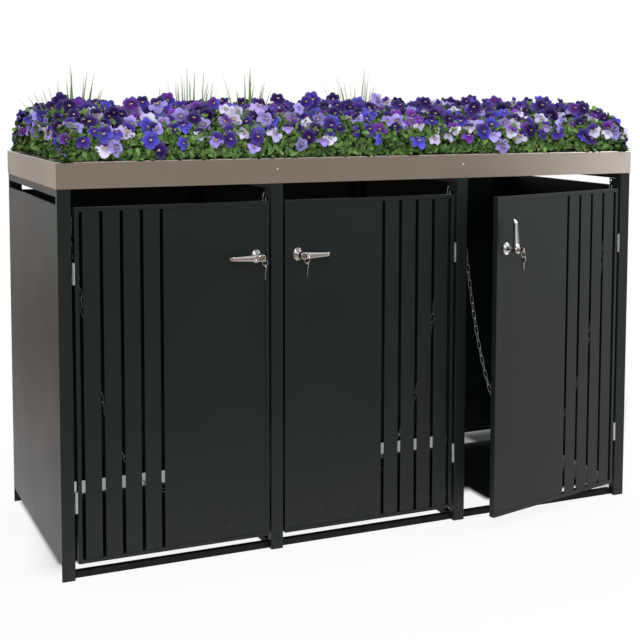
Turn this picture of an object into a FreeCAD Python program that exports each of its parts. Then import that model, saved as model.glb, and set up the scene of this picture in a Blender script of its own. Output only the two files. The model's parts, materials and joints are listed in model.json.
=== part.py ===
import FreeCAD, Part
import math
import os

os.makedirs("parts", exist_ok=True)

# Store: overall sizes in millimetres
store_width = 2040.0
store_depth = 800.0
tray_top = 1250.0
skirt_height = 80.0
bay_names = ("left", "mid", "right")
cut_margin = 1.0

# Folded sheet and posts
post_width = 40.0
post_return = 30.0
post_sheet = 2.0
bend_radius = 1.8
panel_sheet = 2.0
ground_gap = 50.0
lip_width = 15.0
vent_below_skirt = 23.0
vent_height = 25.0
vent_end = 20.0
vent_lip = 8.0

# Square bars of the frame
bar_size = 20.0
sill_setback = 20.0
top_bar_setback = 5.0

# Rear wall panels
rear_panel_below_skirt = 57.0
rear_panel_depth = 20.0
rear_panel_gap = 1.0
rear_panel_sheet = 1.5
ear_height = 20.0
ear_from_bottom = 40.0
ear_from_top = 60.0

# Planter tray
tray_sheet = 1.5
tray_clearance = 0.5
pan_inset = 36.0
pan_depth = 78.0
tray_edge_chamfer = 1.0
rivet_above_skirt_edge = 44.0
rivet_head_radius = 4.0
rivet_head_height = 1.4
rivet_shank_radius = 2.0
rivet_clearance = 0.05
rivet_sides = 8
rivet_tail = 3.0

# Soil and planting
soil_clearance = 0.3
soil_below_rim = 13.0
plant_overhang = 14.0
plant_rim_gap = 1.0
plant_shoulder = 82.0
plant_height = 160.0
plant_crown_wave = 9.0
plant_end_run = 120.0
plant_end_height = 95.0
plant_stations = 15
plant_waves = 9
blade_count = 8
blade_base = 5.0
blade_thickness = 1.6
blade_shortening = 0.35
blade_turn = 137.5

# Doors
door_bottom = 48.0
door_below_skirt = 55.0
door_depth = 20.0
door_rim = 12.0
door_channel_sheet = 1.5
door_sheet = 1.5
hinge_gap = 10.0
free_gap = 7.0
slot_width = 11.0
slat_width = 50.3
slot_count = 5
door_rest_angle = {"left": 0.0, "mid": 0.0, "right": 14.0}
hinge_side = {"left": -1, "mid": 1, "right": 1}

# Hinges
barrel_radius = 4.6
barrel_sides = 12
barrel_height = 32.0
barrel_gap = 0.3
pin_radius = 2.5
pin_clearance = 0.05
leaf_thickness = 2.0
leaf_depth = 18.0
hinge_heights = (205.0, 889.0)

# Locks: distances along the spindle are measured outwards from the door's front plane
handle_height = 944.0
handle_from_edge = 43.0
handle_rest_angle = {"left": 0.0, "mid": 0.0, "right": 90.0}
rose_radius = 16.0
rose_stretch = 1.3
round_sides = 24
rose_front = 4.0
rose_shoulder = 2.5
bush_radius = 9.0
bush_sides = 12
bush_clearance = 0.2
bush_beyond_door = 4.0
spindle_radius = 4.0
spindle_clearance = 0.05
running_gap = 0.3
neck_radius = 8.0
neck_sides = 12
boss_radius = 12.0
boss_back = 29.0
boss_front = 54.0
boss_edge = 1.0
lever_length = 101.0
lever_root_height = 21.0
lever_tip_height = 11.0
lever_root_back = 36.0
lever_root_front = 50.0
lever_tip_back = 34.0
lever_tip_front = 43.0
lever_start = 7.0
lever_chamfer = 2.5
lever_nose = 3.0
lever_nose_cut = 1.0
groove_start = 16.0
groove_end = 88.0
groove_margin = 3.2
groove_depth = 1.4

# Lock cylinder, key and ring
cylinder_radius = 7.0
cylinder_clearance = 0.05
cylinder_depth = 18.0
cylinder_proud = 1.0
key_width = 8.0
key_thickness = 2.0
key_clearance = 0.1
key_insertion = 16.0
key_neck = 4.0
bow_radius = 10.5
bow_sides = 10
bow_hole_radius = 2.6
bow_hole_sides = 6
bow_hole_offset = 5.5
ring_wire = 1.4
ring_radius = 8.2
ring_sides = 12
ring_clearance = 0.2
spare_key_length = 26.0

# Latch cam
cam_gap = 1.0
cam_thickness = 3.0
cam_width = 18.0
cam_tip_width = 12.0
cam_overlap = 9.0
stud_radius = 3.0
stud_sides = 8
stud_clearance = 0.05
cam_nut_width = 10.0
cam_nut_height = 5.0
stud_beyond_nut = 1.0

# Chains
chain_setback = 52.0
link_wire = 3.0
link_inner_length = 28.0
link_inner_width = 7.0
link_clearance = 0.9
chain_links = 75
solver_halvings = 80
solver_reach = 20
bracket_thickness = 2.0
bracket_start = 12.0
bracket_end = 60.0
bracket_height = 26.0
bracket_rail_gap = 2.0
bracket_hole_drop = 9.0
bracket_hole_radius = 4.5
bracket_hole_sides = 8
bracket_seat = 0.5

# Derived places
front_y = -(sill_setback + bar_size / 2)
rear_y = front_y + store_depth
left_x = -store_width / 2
right_x = store_width / 2
frame_top = tray_top - tray_sheet
skirt_bottom = tray_top - skirt_height
pan_floor_height = tray_top - pan_depth
rivet_height = skirt_bottom + rivet_above_skirt_edge
vent_bottom = skirt_bottom - vent_below_skirt - vent_height
rear_panel_top = skirt_bottom - rear_panel_below_skirt
door_top = skirt_bottom - door_below_skirt
bracket_top = pan_floor_height - bar_size - bracket_rail_gap
bracket_hole_height = bracket_top - bracket_hole_drop
post_pitch = (store_width - post_width) / len(bay_names)
tray_overhang = tray_clearance + tray_sheet
door_hinge_y = front_y
Vec = FreeCAD.Vector
up = Vec(0, 0, 1)
outwards = Vec(0, -1, 0)


def save(name, *shapes):
    """Write the solids of one named piece."""
    solids = [solid for shape in shapes for solid in shape.Solids]
    whole = solids[0] if len(solids) == 1 else Part.makeCompound(solids)
    whole.exportStep("parts/" + name + ".step")


def block(x0, x1, y0, y1, z0, z1):
    """Make a box from its low and high faces, given in either order."""
    low = Vec(min(x0, x1), min(y0, y1), min(z0, z1))
    return Part.makeBox(abs(x1 - x0), abs(y1 - y0), abs(z1 - z0), low)


def prism(points, rise):
    """Extrude the closed outline through the points."""
    return flat_face(points).extrude(rise)


def flat_face(points):
    """One flat face through its corners."""
    return Part.Face(Part.makePolygon(list(points) + [points[0]]))


def closed(faces):
    """Make a solid of the faces, turned the right way out."""
    solid = Part.Solid(Part.Shell(faces))
    if solid.Volume < 0:
        solid.reverse()
    return solid


def many_sided(sides, flat_radius, centre, along):
    """Extrude a regular outline, given by its centre-to-flat distance, along a straight path."""
    corner = flat_radius / math.cos(math.pi / sides)
    first = Vec(0, 0, 1) if abs(along.z) < abs(along.x) + abs(along.y) else Vec(0, 1, 0)
    second = along.cross(first).normalize()
    points = []
    for index in range(sides):
        turn = math.pi * (2 * index + 1) / sides
        points.append(centre + first * (corner * math.cos(turn)) + second * (corner * math.sin(turn)))
    return prism(points, along)


def regular(sides, flat_radius, outward):
    """Corners of a regular outline about the spindle at one distance outwards."""
    corner = flat_radius / math.cos(math.pi / sides)
    turns = [math.pi * (2 * index + 1) / sides for index in range(sides)]
    return [Vec(corner * math.cos(turn), -outward, corner * math.sin(turn)) for turn in turns]


def oval(half_width, outward):
    """Corners of the rose's outline about the spindle, stretched upwards."""
    return [Vec(corner.x, corner.y, corner.z * rose_stretch)
            for corner in regular(round_sides, half_width, outward)]


def skinned(rings):
    """Close a row of equal rings of points with flat four-cornered faces."""
    faces = [flat_face(rings[0]), flat_face(rings[-1])]
    for ring, following in zip(rings, rings[1:]):
        for index in range(len(ring)):
            after = (index + 1) % len(ring)
            faces.append(flat_face([ring[index], ring[after], following[after], following[index]]))
    return closed(faces)


def upright_edges(shape, places):
    """Pick the vertical edges that stand at the given plan places."""
    chosen = []
    for edge in shape.Edges:
        start = edge.Vertexes[0].Point
        end = edge.Vertexes[-1].Point
        upright = abs(start.x - end.x) < 0.01 and abs(start.y - end.y) < 0.01
        if upright and any(abs(start.x - x) + abs(start.y - y) < 0.01 for x, y in places):
            chosen.append(edge)
    return chosen


def folded(outer, sheet, bottom, top):
    """Fold a sheet along square plan corners; its inside lies to the right of the path."""
    normals = []
    for (x0, y0), (x1, y1) in zip(outer, outer[1:]):
        length = math.hypot(x1 - x0, y1 - y0)
        normals.append(((y1 - y0) / length * sheet, -(x1 - x0) / length * sheet))
    inner = []
    for index, (x, y) in enumerate(outer):
        before = normals[index - 1] if index > 0 else (0.0, 0.0)
        after = normals[index] if index < len(normals) else (0.0, 0.0)
        inner.append((x + before[0] + after[0], y + before[1] + after[1]))
    points = [Vec(x, y, bottom) for x, y in outer + inner[::-1]]
    shape = prism(points, up * (top - bottom))
    return shape.makeFillet(bend_radius, upright_edges(shape, outer[1:-1]))


# Plan places of the posts and bays
post_lefts = [left_x + post_pitch * index for index in range(len(bay_names) + 1)]
bay_spans = {}
for bay_index, bay_name in enumerate(bay_names):
    bay_spans[bay_name] = (post_lefts[bay_index] + post_width, post_lefts[bay_index + 1])


def side_panel(outside_x, side):
    """Fold one end wall with its flanges, returns, feet, bottom lip and air slot."""
    inner_x = outside_x - side * post_width
    skin_inner = outside_x - side * panel_sheet
    path = [
        (inner_x, front_y + post_return),
        (inner_x, front_y),
        (outside_x, front_y),
        (outside_x, rear_y),
        (inner_x, rear_y),
        (inner_x, rear_y - post_return),
    ]
    if side > 0:
        path.reverse()
    shape = folded(path, panel_sheet, 0, frame_top)
    corner = panel_sheet + bend_radius
    past_skin = outside_x + side * cut_margin
    shape = shape.cut(block(past_skin, inner_x + side * post_return, front_y + corner,
                            rear_y - corner, 0, ground_gap))
    slot_front = front_y + vent_end
    slot_rear = rear_y - vent_end
    slot = block(past_skin, skin_inner - side * cut_margin, slot_front, slot_rear,
                 vent_bottom, vent_bottom + vent_height)
    shape = shape.cut(slot)
    lip_front = front_y + post_return + bend_radius
    lip_rear = rear_y - post_return - bend_radius
    lips = [
        block(outside_x, outside_x - side * lip_width, lip_front, lip_rear,
              ground_gap, ground_gap + panel_sheet),
        block(outside_x, outside_x - side * vent_lip, lip_front, lip_rear,
              vent_bottom - panel_sheet, vent_bottom),
        block(outside_x, outside_x - side * vent_lip, lip_front, lip_rear,
              vent_bottom + vent_height, vent_bottom + vent_height + panel_sheet),
    ]
    return shape.multiFuse(lips).removeSplitter()


def rivet_places():
    """Give x, skirt face y and outward direction of each tray rivet."""
    places = []
    for post_left in post_lefts[1:-1]:
        middle = post_left + post_width / 2
        places.append((middle, front_y - tray_overhang, -1))
        places.append((middle, rear_y + tray_overhang, 1))
    return places


def rivet_hole(x, face_y, direction):
    """Bore for one rivet through skirt and post."""
    length = tray_overhang + post_sheet + rivet_tail
    return many_sided(rivet_sides, rivet_shank_radius + rivet_clearance,
                      Vec(x, face_y + direction * cut_margin, rivet_height),
                      Vec(0, -direction * (length + cut_margin), 0))


def mid_post(post_left, face_y, direction):
    """Fold one C post; its open side faces into the store."""
    return_y = face_y - direction * post_return
    path = [
        (post_left, return_y),
        (post_left, face_y),
        (post_left + post_width, face_y),
        (post_left + post_width, return_y),
    ]
    if direction < 0:
        path.reverse()
    shape = folded(path, post_sheet, 0, frame_top)
    middle = post_left + post_width / 2
    return shape.cut(rivet_hole(middle, face_y + direction * tray_overhang, direction))


def make_walls():
    """Side walls, inner posts and rear panels."""
    save("left_side_panel", side_panel(left_x, -1))
    save("right_side_panel", side_panel(right_x, 1))
    for name, post_left in zip(("left", "right"), post_lefts[1:-1]):
        save("mid_front_post_" + name, mid_post(post_left, front_y, -1))
        save("mid_rear_post_" + name, mid_post(post_left, rear_y, 1))
    for name in bay_names:
        x0 = bay_spans[name][0] + rear_panel_gap
        x1 = bay_spans[name][1] - rear_panel_gap
        sheet = rear_panel_sheet
        outer = block(x0, x1, rear_y - rear_panel_depth, rear_y, ground_gap, rear_panel_top)
        hollow = block(x0 + sheet, x1 - sheet, rear_y - rear_panel_depth - cut_margin, rear_y - sheet,
                       ground_gap + sheet, rear_panel_top - sheet)
        ears = []
        for edge, side in ((x0, -1), (x1, 1)):
            for height in (ground_gap + ear_from_bottom, rear_panel_top - ear_from_top):
                ears.append(block(edge, edge + side * rear_panel_gap, rear_y - rear_panel_depth,
                                  rear_y - sheet, height, height + ear_height))
        save("rear_panel_" + name, outer.cut(hollow).multiFuse(ears))


def make_bars():
    """Sills, floor rails, top bars and the rails under the pan."""
    for name in bay_names:
        x0, x1 = bay_spans[name]
        sill_y = front_y + sill_setback
        save("front_sill_" + name, block(x0, x1, sill_y, sill_y + bar_size, 0, bar_size))
    front_bars = []
    rear_bars = []
    for x0, x1 in bay_spans.values():
        front_top = front_y + top_bar_setback
        rear_top = rear_y - top_bar_setback
        front_bars.append(block(x0, x1, front_top, front_top + bar_size,
                                frame_top - bar_size, frame_top))
        rear_bars.append(block(x0, x1, rear_top - bar_size, rear_top,
                               frame_top - bar_size, frame_top))
    save("front_top_rails", *front_bars)
    save("rear_top_rails", *rear_bars)
    rail_front = front_y + post_return
    rail_rear = rear_y - post_return
    for name, post_left in zip(("left", "right"), post_lefts[1:-1]):
        save("floor_rail_" + name,
             block(post_left, post_left + bar_size, rail_front, rail_rear, 0, bar_size))
        save("tray_rail_" + name,
             block(post_left, post_left + bar_size, rail_front, rail_rear,
                   pan_floor_height - bar_size, pan_floor_height))


def tray_box(inset, bottom, top):
    """Box over the store's plan, drawn in by an inset."""
    return block(left_x - tray_overhang + inset, right_x + tray_overhang - inset,
                 front_y - tray_overhang + inset, rear_y + tray_overhang - inset, bottom, top)


def make_tray():
    """Pan, lip and skirt folded from one sheet, its rivets, and the soil."""
    cover = tray_box(0, skirt_bottom, tray_top)
    long_edges = [edge for edge in cover.Edges
                  if min(vertex.Z for vertex in edge.Vertexes) > tray_top - cut_margin]
    corners = [(x, y) for x in (left_x - tray_overhang, right_x + tray_overhang)
               for y in (front_y - tray_overhang, rear_y + tray_overhang)]
    cover = cover.makeChamfer(tray_edge_chamfer, long_edges + upright_edges(cover, corners))
    under = tray_box(tray_sheet, skirt_bottom - cut_margin, frame_top)
    opening = tray_box(pan_inset, skirt_bottom - cut_margin, tray_top + cut_margin)
    pan = tray_box(pan_inset, pan_floor_height, tray_top)
    hollow = tray_box(pan_inset + tray_sheet, pan_floor_height + tray_sheet, tray_top + cut_margin)
    tray = cover.cut(under).cut(opening).fuse(pan.cut(hollow)).removeSplitter()
    rivets = []
    for x, face_y, direction in rivet_places():
        tray = tray.cut(rivet_hole(x, face_y, direction))
        length = tray_overhang + post_sheet + rivet_tail
        face = Vec(x, face_y, rivet_height)
        shank = many_sided(rivet_sides, rivet_shank_radius, face, Vec(0, -direction * length, 0))
        head = many_sided(rivet_sides, rivet_head_radius, face, Vec(0, direction * rivet_head_height, 0))
        rivets.append(shank.fuse(head).removeSplitter())
    save("planter_tray", tray)
    save("tray_rivets", *rivets)
    soil_inset = pan_inset + tray_sheet + soil_clearance
    save("soil_bed", tray_box(soil_inset, pan_floor_height + tray_sheet, tray_top - soil_below_rim))


def faceted_solid(rings):
    """Close a row of equal rings of points with flat triangles; each end has three flat parts."""
    faces = []
    count = len(rings[0])
    for ring, following in zip(rings, rings[1:]):
        for index in range(count):
            after = (index + 1) % count
            faces.append(flat_face([ring[index], ring[after], following[after]]))
            faces.append(flat_face([ring[index], following[after], following[index]]))
    for ring in (rings[0], rings[-1]):
        soil_end = [ring[0], ring[1], ring[-2], ring[-1]]
        under = [ring[1], ring[2], ring[-3], ring[-2]]
        for corners in (soil_end, under, ring[2:-2]):
            for index in range(1, len(corners) - 1):
                faces.append(flat_face([corners[0], corners[index], corners[index + 1]]))
    return closed(faces)


def plant_ring(share):
    """Cross-section of the planting at a share of its length, low and narrow at the ends."""
    soil_top = tray_top - soil_below_rim
    inset = pan_inset + tray_sheet + soil_clearance - tray_overhang
    reach = store_width / 2 + plant_overhang
    x = (2 * share - 1) * reach
    from_end = min(share, 1 - share) * 2 * reach
    fullness = min(1.0, from_end / plant_end_run)
    crown = plant_end_height + (plant_height - plant_end_height) * math.sin(fullness * math.pi / 2)
    wave = plant_crown_wave * math.sin(share * math.pi * plant_waves) * fullness
    top = tray_top + crown + wave
    shoulder = tray_top + plant_shoulder * crown / plant_height
    rim = tray_top + plant_rim_gap
    inner_x = max(left_x + inset, min(right_x - inset, x))
    front_in = front_y + inset
    rear_in = rear_y - inset
    quarter = store_depth / 4
    outline = [
        (inner_x, front_in, soil_top),
        (inner_x, front_in, rim),
        (x, front_y - plant_overhang, rim + plant_overhang),
        (x, front_y - plant_overhang / 2, shoulder),
        (x, front_y + quarter / 2, top - plant_crown_wave),
        (x, front_y + quarter * 1.5, top + wave / 2),
        (x, rear_y - quarter, top - wave / 2),
        (x, rear_y - quarter / 3, top - plant_crown_wave),
        (x, rear_y + plant_overhang / 2, shoulder),
        (x, rear_y + plant_overhang, rim + plant_overhang),
        (inner_x, rear_in, rim),
        (inner_x, rear_in, soil_top),
    ]
    return [Vec(*point) for point in outline]


# Grass tufts: distance from the left end, from the front, height over the rim, spread
tufts = [
    (115, 400, 284, 62),
    (530, 420, 290, 60),
    (715, 400, 284, 66),
    (1130, 400, 288, 70),
    (1660, 480, 236, 40),
]


def grass_blade(foot, tip, turn):
    """One slender blade, wide at its foot and pointed at its tip."""
    side = Vec(math.cos(turn), math.sin(turn), 0) * (blade_base / 2)
    across = Vec(-math.sin(turn), math.cos(turn), 0) * (blade_thickness / 2)
    corners = [foot - side, foot - across, foot + side, foot + across]
    faces = [flat_face(corners)]
    for index in range(len(corners)):
        faces.append(flat_face([corners[index], corners[(index + 1) % 4], tip]))
    return closed(faces)


def make_planting():
    """Mass of leaves and flower heads, and the grass that stands out of it."""
    rings = [plant_ring(index / (plant_stations - 1)) for index in range(plant_stations)]
    mass = faceted_solid(rings)
    save("planting", mass)
    blades = []
    for from_left, from_front, height, spread in tufts:
        for index in range(blade_count):
            turn = math.radians(index * blade_turn)
            lean = spread * (index + 0.5) / blade_count
            foot = Vec(left_x + from_left + lean / 4 * math.cos(turn),
                       front_y + from_front + lean / 4 * math.sin(turn), tray_top)
            rise = height * (1 - blade_shortening * index / blade_count)
            tip = Vec(left_x + from_left + lean * math.cos(turn),
                      front_y + from_front + lean * math.sin(turn), tray_top + rise)
            blades.append(grass_blade(foot, tip, turn).cut(mass))
    save("grass_tufts", *blades)


# Doors: their hinge edges, free edges and axes
def door_places(name):
    """Give hinge edge x, free edge x, axis x and the direction from hinge to free edge."""
    x0, x1 = bay_spans[name]
    if hinge_side[name] < 0:
        return x0 + hinge_gap, x1 - free_gap, x0 + hinge_gap / 2, 1
    return x1 - hinge_gap, x0 + free_gap, x1 - hinge_gap / 2, -1


def set_door(shape, name):
    """Swing a piece of a closed door to the angle at which the door rests."""
    axis_x = door_places(name)[2]
    turned = shape.copy()
    turned.rotate(Vec(axis_x, door_hinge_y, 0), up * hinge_side[name], door_rest_angle[name])
    return turned


def make_doors():
    """Folded frame, recessed slotted sheet and both halves of the hinges."""
    for name in bay_names:
        hinge_x, free_x, axis_x, way = door_places(name)
        channel = door_channel_sheet
        rear = front_y + door_depth
        frame = block(hinge_x, free_x, front_y, rear, door_bottom, door_top)
        frame = frame.cut(block(hinge_x + way * door_rim, free_x - way * door_rim,
                                front_y - cut_margin, rear + cut_margin,
                                door_bottom + door_rim, door_top - door_rim))
        frame = frame.cut(block(hinge_x + way * channel, free_x - way * channel,
                                front_y + channel, rear - channel,
                                door_bottom + channel, door_top - channel))
        save("door_frame_" + name, set_door(frame, name))

        face_y = front_y + channel
        sheet = block(hinge_x + way * channel, free_x - way * channel,
                      face_y, face_y + door_sheet, door_bottom + channel, door_top - channel)
        for index in range(slot_count):
            start = hinge_x + way * (door_rim + index * (slot_width + slat_width))
            sheet = sheet.cut(block(start, start + way * slot_width, front_y, rear,
                                    door_bottom + door_rim, door_top - door_rim))
        lock_x = free_x - way * handle_from_edge
        sheet = sheet.cut(many_sided(bush_sides, bush_radius + bush_clearance,
                                     Vec(lock_x, front_y, handle_height), Vec(0, door_depth, 0)))
        save("door_sheet_" + name, set_door(sheet, name))

        pintles = []
        barrels = []
        post_x = axis_x - way * hinge_gap / 2
        for foot in hinge_heights:
            middle = foot + barrel_height
            head = middle + barrel_gap
            pintle = many_sided(barrel_sides, barrel_radius, Vec(axis_x, door_hinge_y, foot),
                                up * barrel_height)
            leaf = block(post_x, post_x + way * leaf_thickness, door_hinge_y,
                         front_y + leaf_depth, foot, middle)
            pin = Part.makeCylinder(pin_radius, barrel_height * 2 - leaf_thickness,
                                    Vec(axis_x, door_hinge_y, foot))
            pintles.append(pintle.multiFuse([leaf, pin]).removeSplitter())
            barrel = many_sided(barrel_sides, barrel_radius, Vec(axis_x, door_hinge_y, head),
                                up * barrel_height)
            leaf = block(hinge_x, hinge_x - way * leaf_thickness, door_hinge_y,
                         front_y + leaf_depth, head, head + barrel_height)
            bore = Part.makeCylinder(pin_radius + pin_clearance, barrel_height * 2,
                                     Vec(axis_x, door_hinge_y, head - cut_margin))
            barrels.append(set_door(barrel.fuse(leaf).cut(bore).removeSplitter(), name))
        save("hinge_pintles_" + name, *pintles)
        save("hinge_barrels_" + name, *barrels)


# Lock pieces are drawn about the spindle: lever along +X, outwards along -Y, origin on the axis
def along_spindle(radius, back, front):
    """Round piece on the spindle between two distances outwards of the door's front."""
    return Part.makeCylinder(radius, front - back, Vec(0, -back, 0), outwards)


def escutcheon():
    """Domed oval rose on the door sheet with the bush that the spindle turns in."""
    seat = -door_channel_sheet
    rose = skinned([
        oval(rose_radius, seat),
        oval(rose_radius, rose_front - rose_shoulder),
        oval(rose_radius - rose_shoulder, rose_front),
    ])
    bush_end = door_depth + bush_beyond_door
    bush = many_sided(bush_sides, bush_radius, Vec(0, -seat, 0), Vec(0, bush_end + seat, 0))
    bore = along_spindle(spindle_radius + spindle_clearance, -bush_end - cut_margin,
                         rose_front + cut_margin)
    return rose.fuse(bush).cut(bore).removeSplitter()


def lever_section(x, height, back, front):
    """Eight-cornered section of the lever at one distance from the axis."""
    half = height / 2
    cut = lever_chamfer
    corners = [
        (back, -half + cut), (back + cut, -half), (front - cut, -half), (front, -half + cut),
        (front, half - cut), (front - cut, half), (back + cut, half), (back, half - cut),
    ]
    return [Vec(x, -outward, z) for outward, z in corners]


def lever_share(x, root_value, tip_value):
    """Size of the lever at a distance from the axis, tapering from root to tip."""
    return root_value + (tip_value - root_value) * (x - lever_start) / (lever_length - lever_start)


def handle():
    """Spindle, neck, boss and tapering lever with its long groove."""
    spindle_end = -(door_depth + cam_plane())
    stud_length = cam_thickness + cam_nut_height + stud_beyond_nut
    stud = many_sided(stud_sides, stud_radius, Vec(0, -spindle_end, 0), Vec(0, stud_length, 0))
    spindle = along_spindle(spindle_radius, spindle_end, boss_back)
    neck_back = rose_front + running_gap
    neck = skinned([regular(neck_sides, neck_radius, neck_back), regular(neck_sides, neck_radius, boss_back)])
    boss = skinned([
        regular(round_sides, boss_radius, boss_back),
        regular(round_sides, boss_radius, boss_front - boss_edge),
        regular(round_sides, boss_radius - boss_edge, boss_front),
    ])
    sections = []
    for x in (lever_start, lever_length - lever_nose):
        sections.append(lever_section(x, lever_share(x, lever_root_height, lever_tip_height),
                                      lever_share(x, lever_root_back, lever_tip_back),
                                      lever_share(x, lever_root_front, lever_tip_front)))
    nose_height = lever_tip_height - lever_chamfer
    sections.append(lever_section(lever_length, nose_height, lever_tip_back + lever_nose_cut,
                                  lever_tip_front - lever_nose_cut))
    lever = skinned(sections)
    groove_ends = []
    for x in (groove_start, groove_end):
        half = lever_share(x, lever_root_height, lever_tip_height) / 2 - groove_margin
        face = lever_share(x, lever_root_front, lever_tip_front)
        floor = face - groove_depth
        above = face + cut_margin
        corners = [(floor, -half), (above, -half), (above, half), (floor, half)]
        groove_ends.append([Vec(x, -outward, z) for outward, z in corners])
    lever = lever.cut(skinned(groove_ends))
    whole = boss.multiFuse([neck, spindle, stud, lever])
    pocket = along_spindle(cylinder_radius + cylinder_clearance, boss_front - cylinder_depth - running_gap,
                           boss_front + cut_margin)
    return whole.cut(pocket).removeSplitter()


def cam_plane():
    """Gap from the door's rear face to the cam, which passes behind the post's return."""
    return post_return - door_depth + cam_gap


def latch_cam():
    """Tongue with its nut: down at a level lever, behind the post's folded edge at a lowered one."""
    back = -(door_depth + cam_plane())
    reach = handle_from_edge + free_gap + cam_overlap
    half = cam_width / 2
    tip = cam_tip_width / 2
    points = [Vec(x, -back, z) for x, z in ((-half, half), (half, half), (tip, -reach), (-tip, -reach))]
    plate = prism(points, Vec(0, cam_thickness, 0))
    nut_face = -back + cam_thickness
    nut = many_sided(6, cam_nut_width / 2, Vec(0, nut_face, 0), Vec(0, cam_nut_height, 0))
    bore = many_sided(stud_sides, stud_radius + stud_clearance, Vec(0, -back - cut_margin, 0),
                      Vec(0, cam_thickness + cam_nut_height + cut_margin * 2, 0))
    return plate.fuse(nut).cut(bore).removeSplitter()


def lock_cylinder():
    """Round cylinder in the boss with its keyway."""
    back = boss_front - cylinder_depth
    front = boss_front + cylinder_proud
    body = along_spindle(cylinder_radius, back, front)
    half_width = key_width / 2 + key_clearance
    half_thick = key_thickness / 2 + key_clearance
    keyway = block(-half_thick, half_thick, -front - cut_margin, -(front - key_insertion - running_gap),
                   -half_width, half_width)
    return body.cut(keyway)


def bow(centre_y, centre_z, hole_y, hole_z):
    """Flat many-sided head of a key with its ring hole."""
    head = many_sided(bow_sides, bow_radius, Vec(-key_thickness / 2, centre_y, centre_z),
                      Vec(key_thickness, 0, 0))
    hole = many_sided(bow_hole_sides, bow_hole_radius, Vec(-key_thickness, hole_y, hole_z),
                      Vec(key_thickness * 2, 0, 0))
    return head, hole


def key_hole_y():
    """Place of the ring hole in the key that stands in the lock."""
    return -(boss_front + cylinder_proud + key_neck + bow_radius + bow_hole_offset)


def key():
    """Key standing in the cylinder, its bow upright."""
    front = boss_front + cylinder_proud
    centre = -(front + key_neck + bow_radius)
    head, hole = bow(centre, 0, key_hole_y(), 0)
    blade = block(-key_thickness / 2, key_thickness / 2, -(front - key_insertion), centre,
                  -key_width / 2, key_width / 2)
    return head.fuse(blade).cut(hole).removeSplitter()


def ring_centre_z():
    """Height of the ring's centre, hanging in the bow's hole."""
    return -bow_hole_radius + ring_clearance - ring_radius


def key_ring():
    """Split ring through the bow and the spare key that hangs from it."""
    y = key_hole_y()
    centre = ring_centre_z()
    start = Vec(0, y - ring_wire / 2, centre)
    ring = many_sided(ring_sides, ring_radius + ring_wire, start, Vec(0, ring_wire, 0))
    ring = ring.cut(many_sided(ring_sides, ring_radius, start, Vec(0, ring_wire, 0)))
    hole_z = centre - ring_radius + ring_clearance - bow_hole_radius
    bow_z = hole_z - bow_hole_offset
    head, hole = bow(y, bow_z, y, hole_z)
    blade = block(-key_thickness / 2, key_thickness / 2, y - key_width / 2, y + key_width / 2,
                  bow_z - bow_radius - spare_key_length, bow_z)
    spare = head.fuse(blade).cut(hole).removeSplitter()
    return Part.makeCompound([ring, spare])


def set_lock(shape, name, turns_with_handle):
    """Put a lock piece on its door, lever towards the hinge side, at its resting turn."""
    hinge_x, free_x, axis_x, way = door_places(name)
    placed = shape.copy()
    if turns_with_handle:
        placed.rotate(Vec(0, 0, 0), outwards, handle_rest_angle[name])
        if way > 0:
            placed = placed.mirror(Vec(0, 0, 0), Vec(1, 0, 0))
    placed.translate(Vec(free_x - way * handle_from_edge, front_y, handle_height))
    return set_door(placed, name)


def make_locks():
    """Rose, handle, cam, cylinder, key and ring of each door."""
    for name in bay_names:
        save("escutcheon_" + name, set_lock(escutcheon(), name, False))
        save("handle_" + name, set_lock(handle(), name, True))
        save("latch_cam_" + name, set_lock(latch_cam(), name, True))
        save("lock_cylinder_" + name, set_lock(lock_cylinder(), name, False))
        save("key_" + name, set_lock(key(), name, False))
        save("key_ring_" + name, set_lock(key_ring(), name, False))


def chain_link():
    """Flat long link along X, of square wire."""
    half = link_inner_length / 2
    side = link_inner_width / 2
    wire = link_wire
    outer = block(-half - wire, half + wire, -side - wire, side + wire, -wire / 2, wire / 2)
    return outer.cut(block(-half, half, -side, side, -wire, wire))


def catenary_parameter(half_span, half_length):
    """Solve half_length = a sinh(half_span / a) for a by halving."""
    low = half_span / solver_reach
    high = half_span * solver_reach
    for step in range(solver_halvings):
        middle = (low + high) / 2
        if middle * math.sinh(half_span / middle) > half_length:
            low = middle
        else:
            high = middle
    return low


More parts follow.
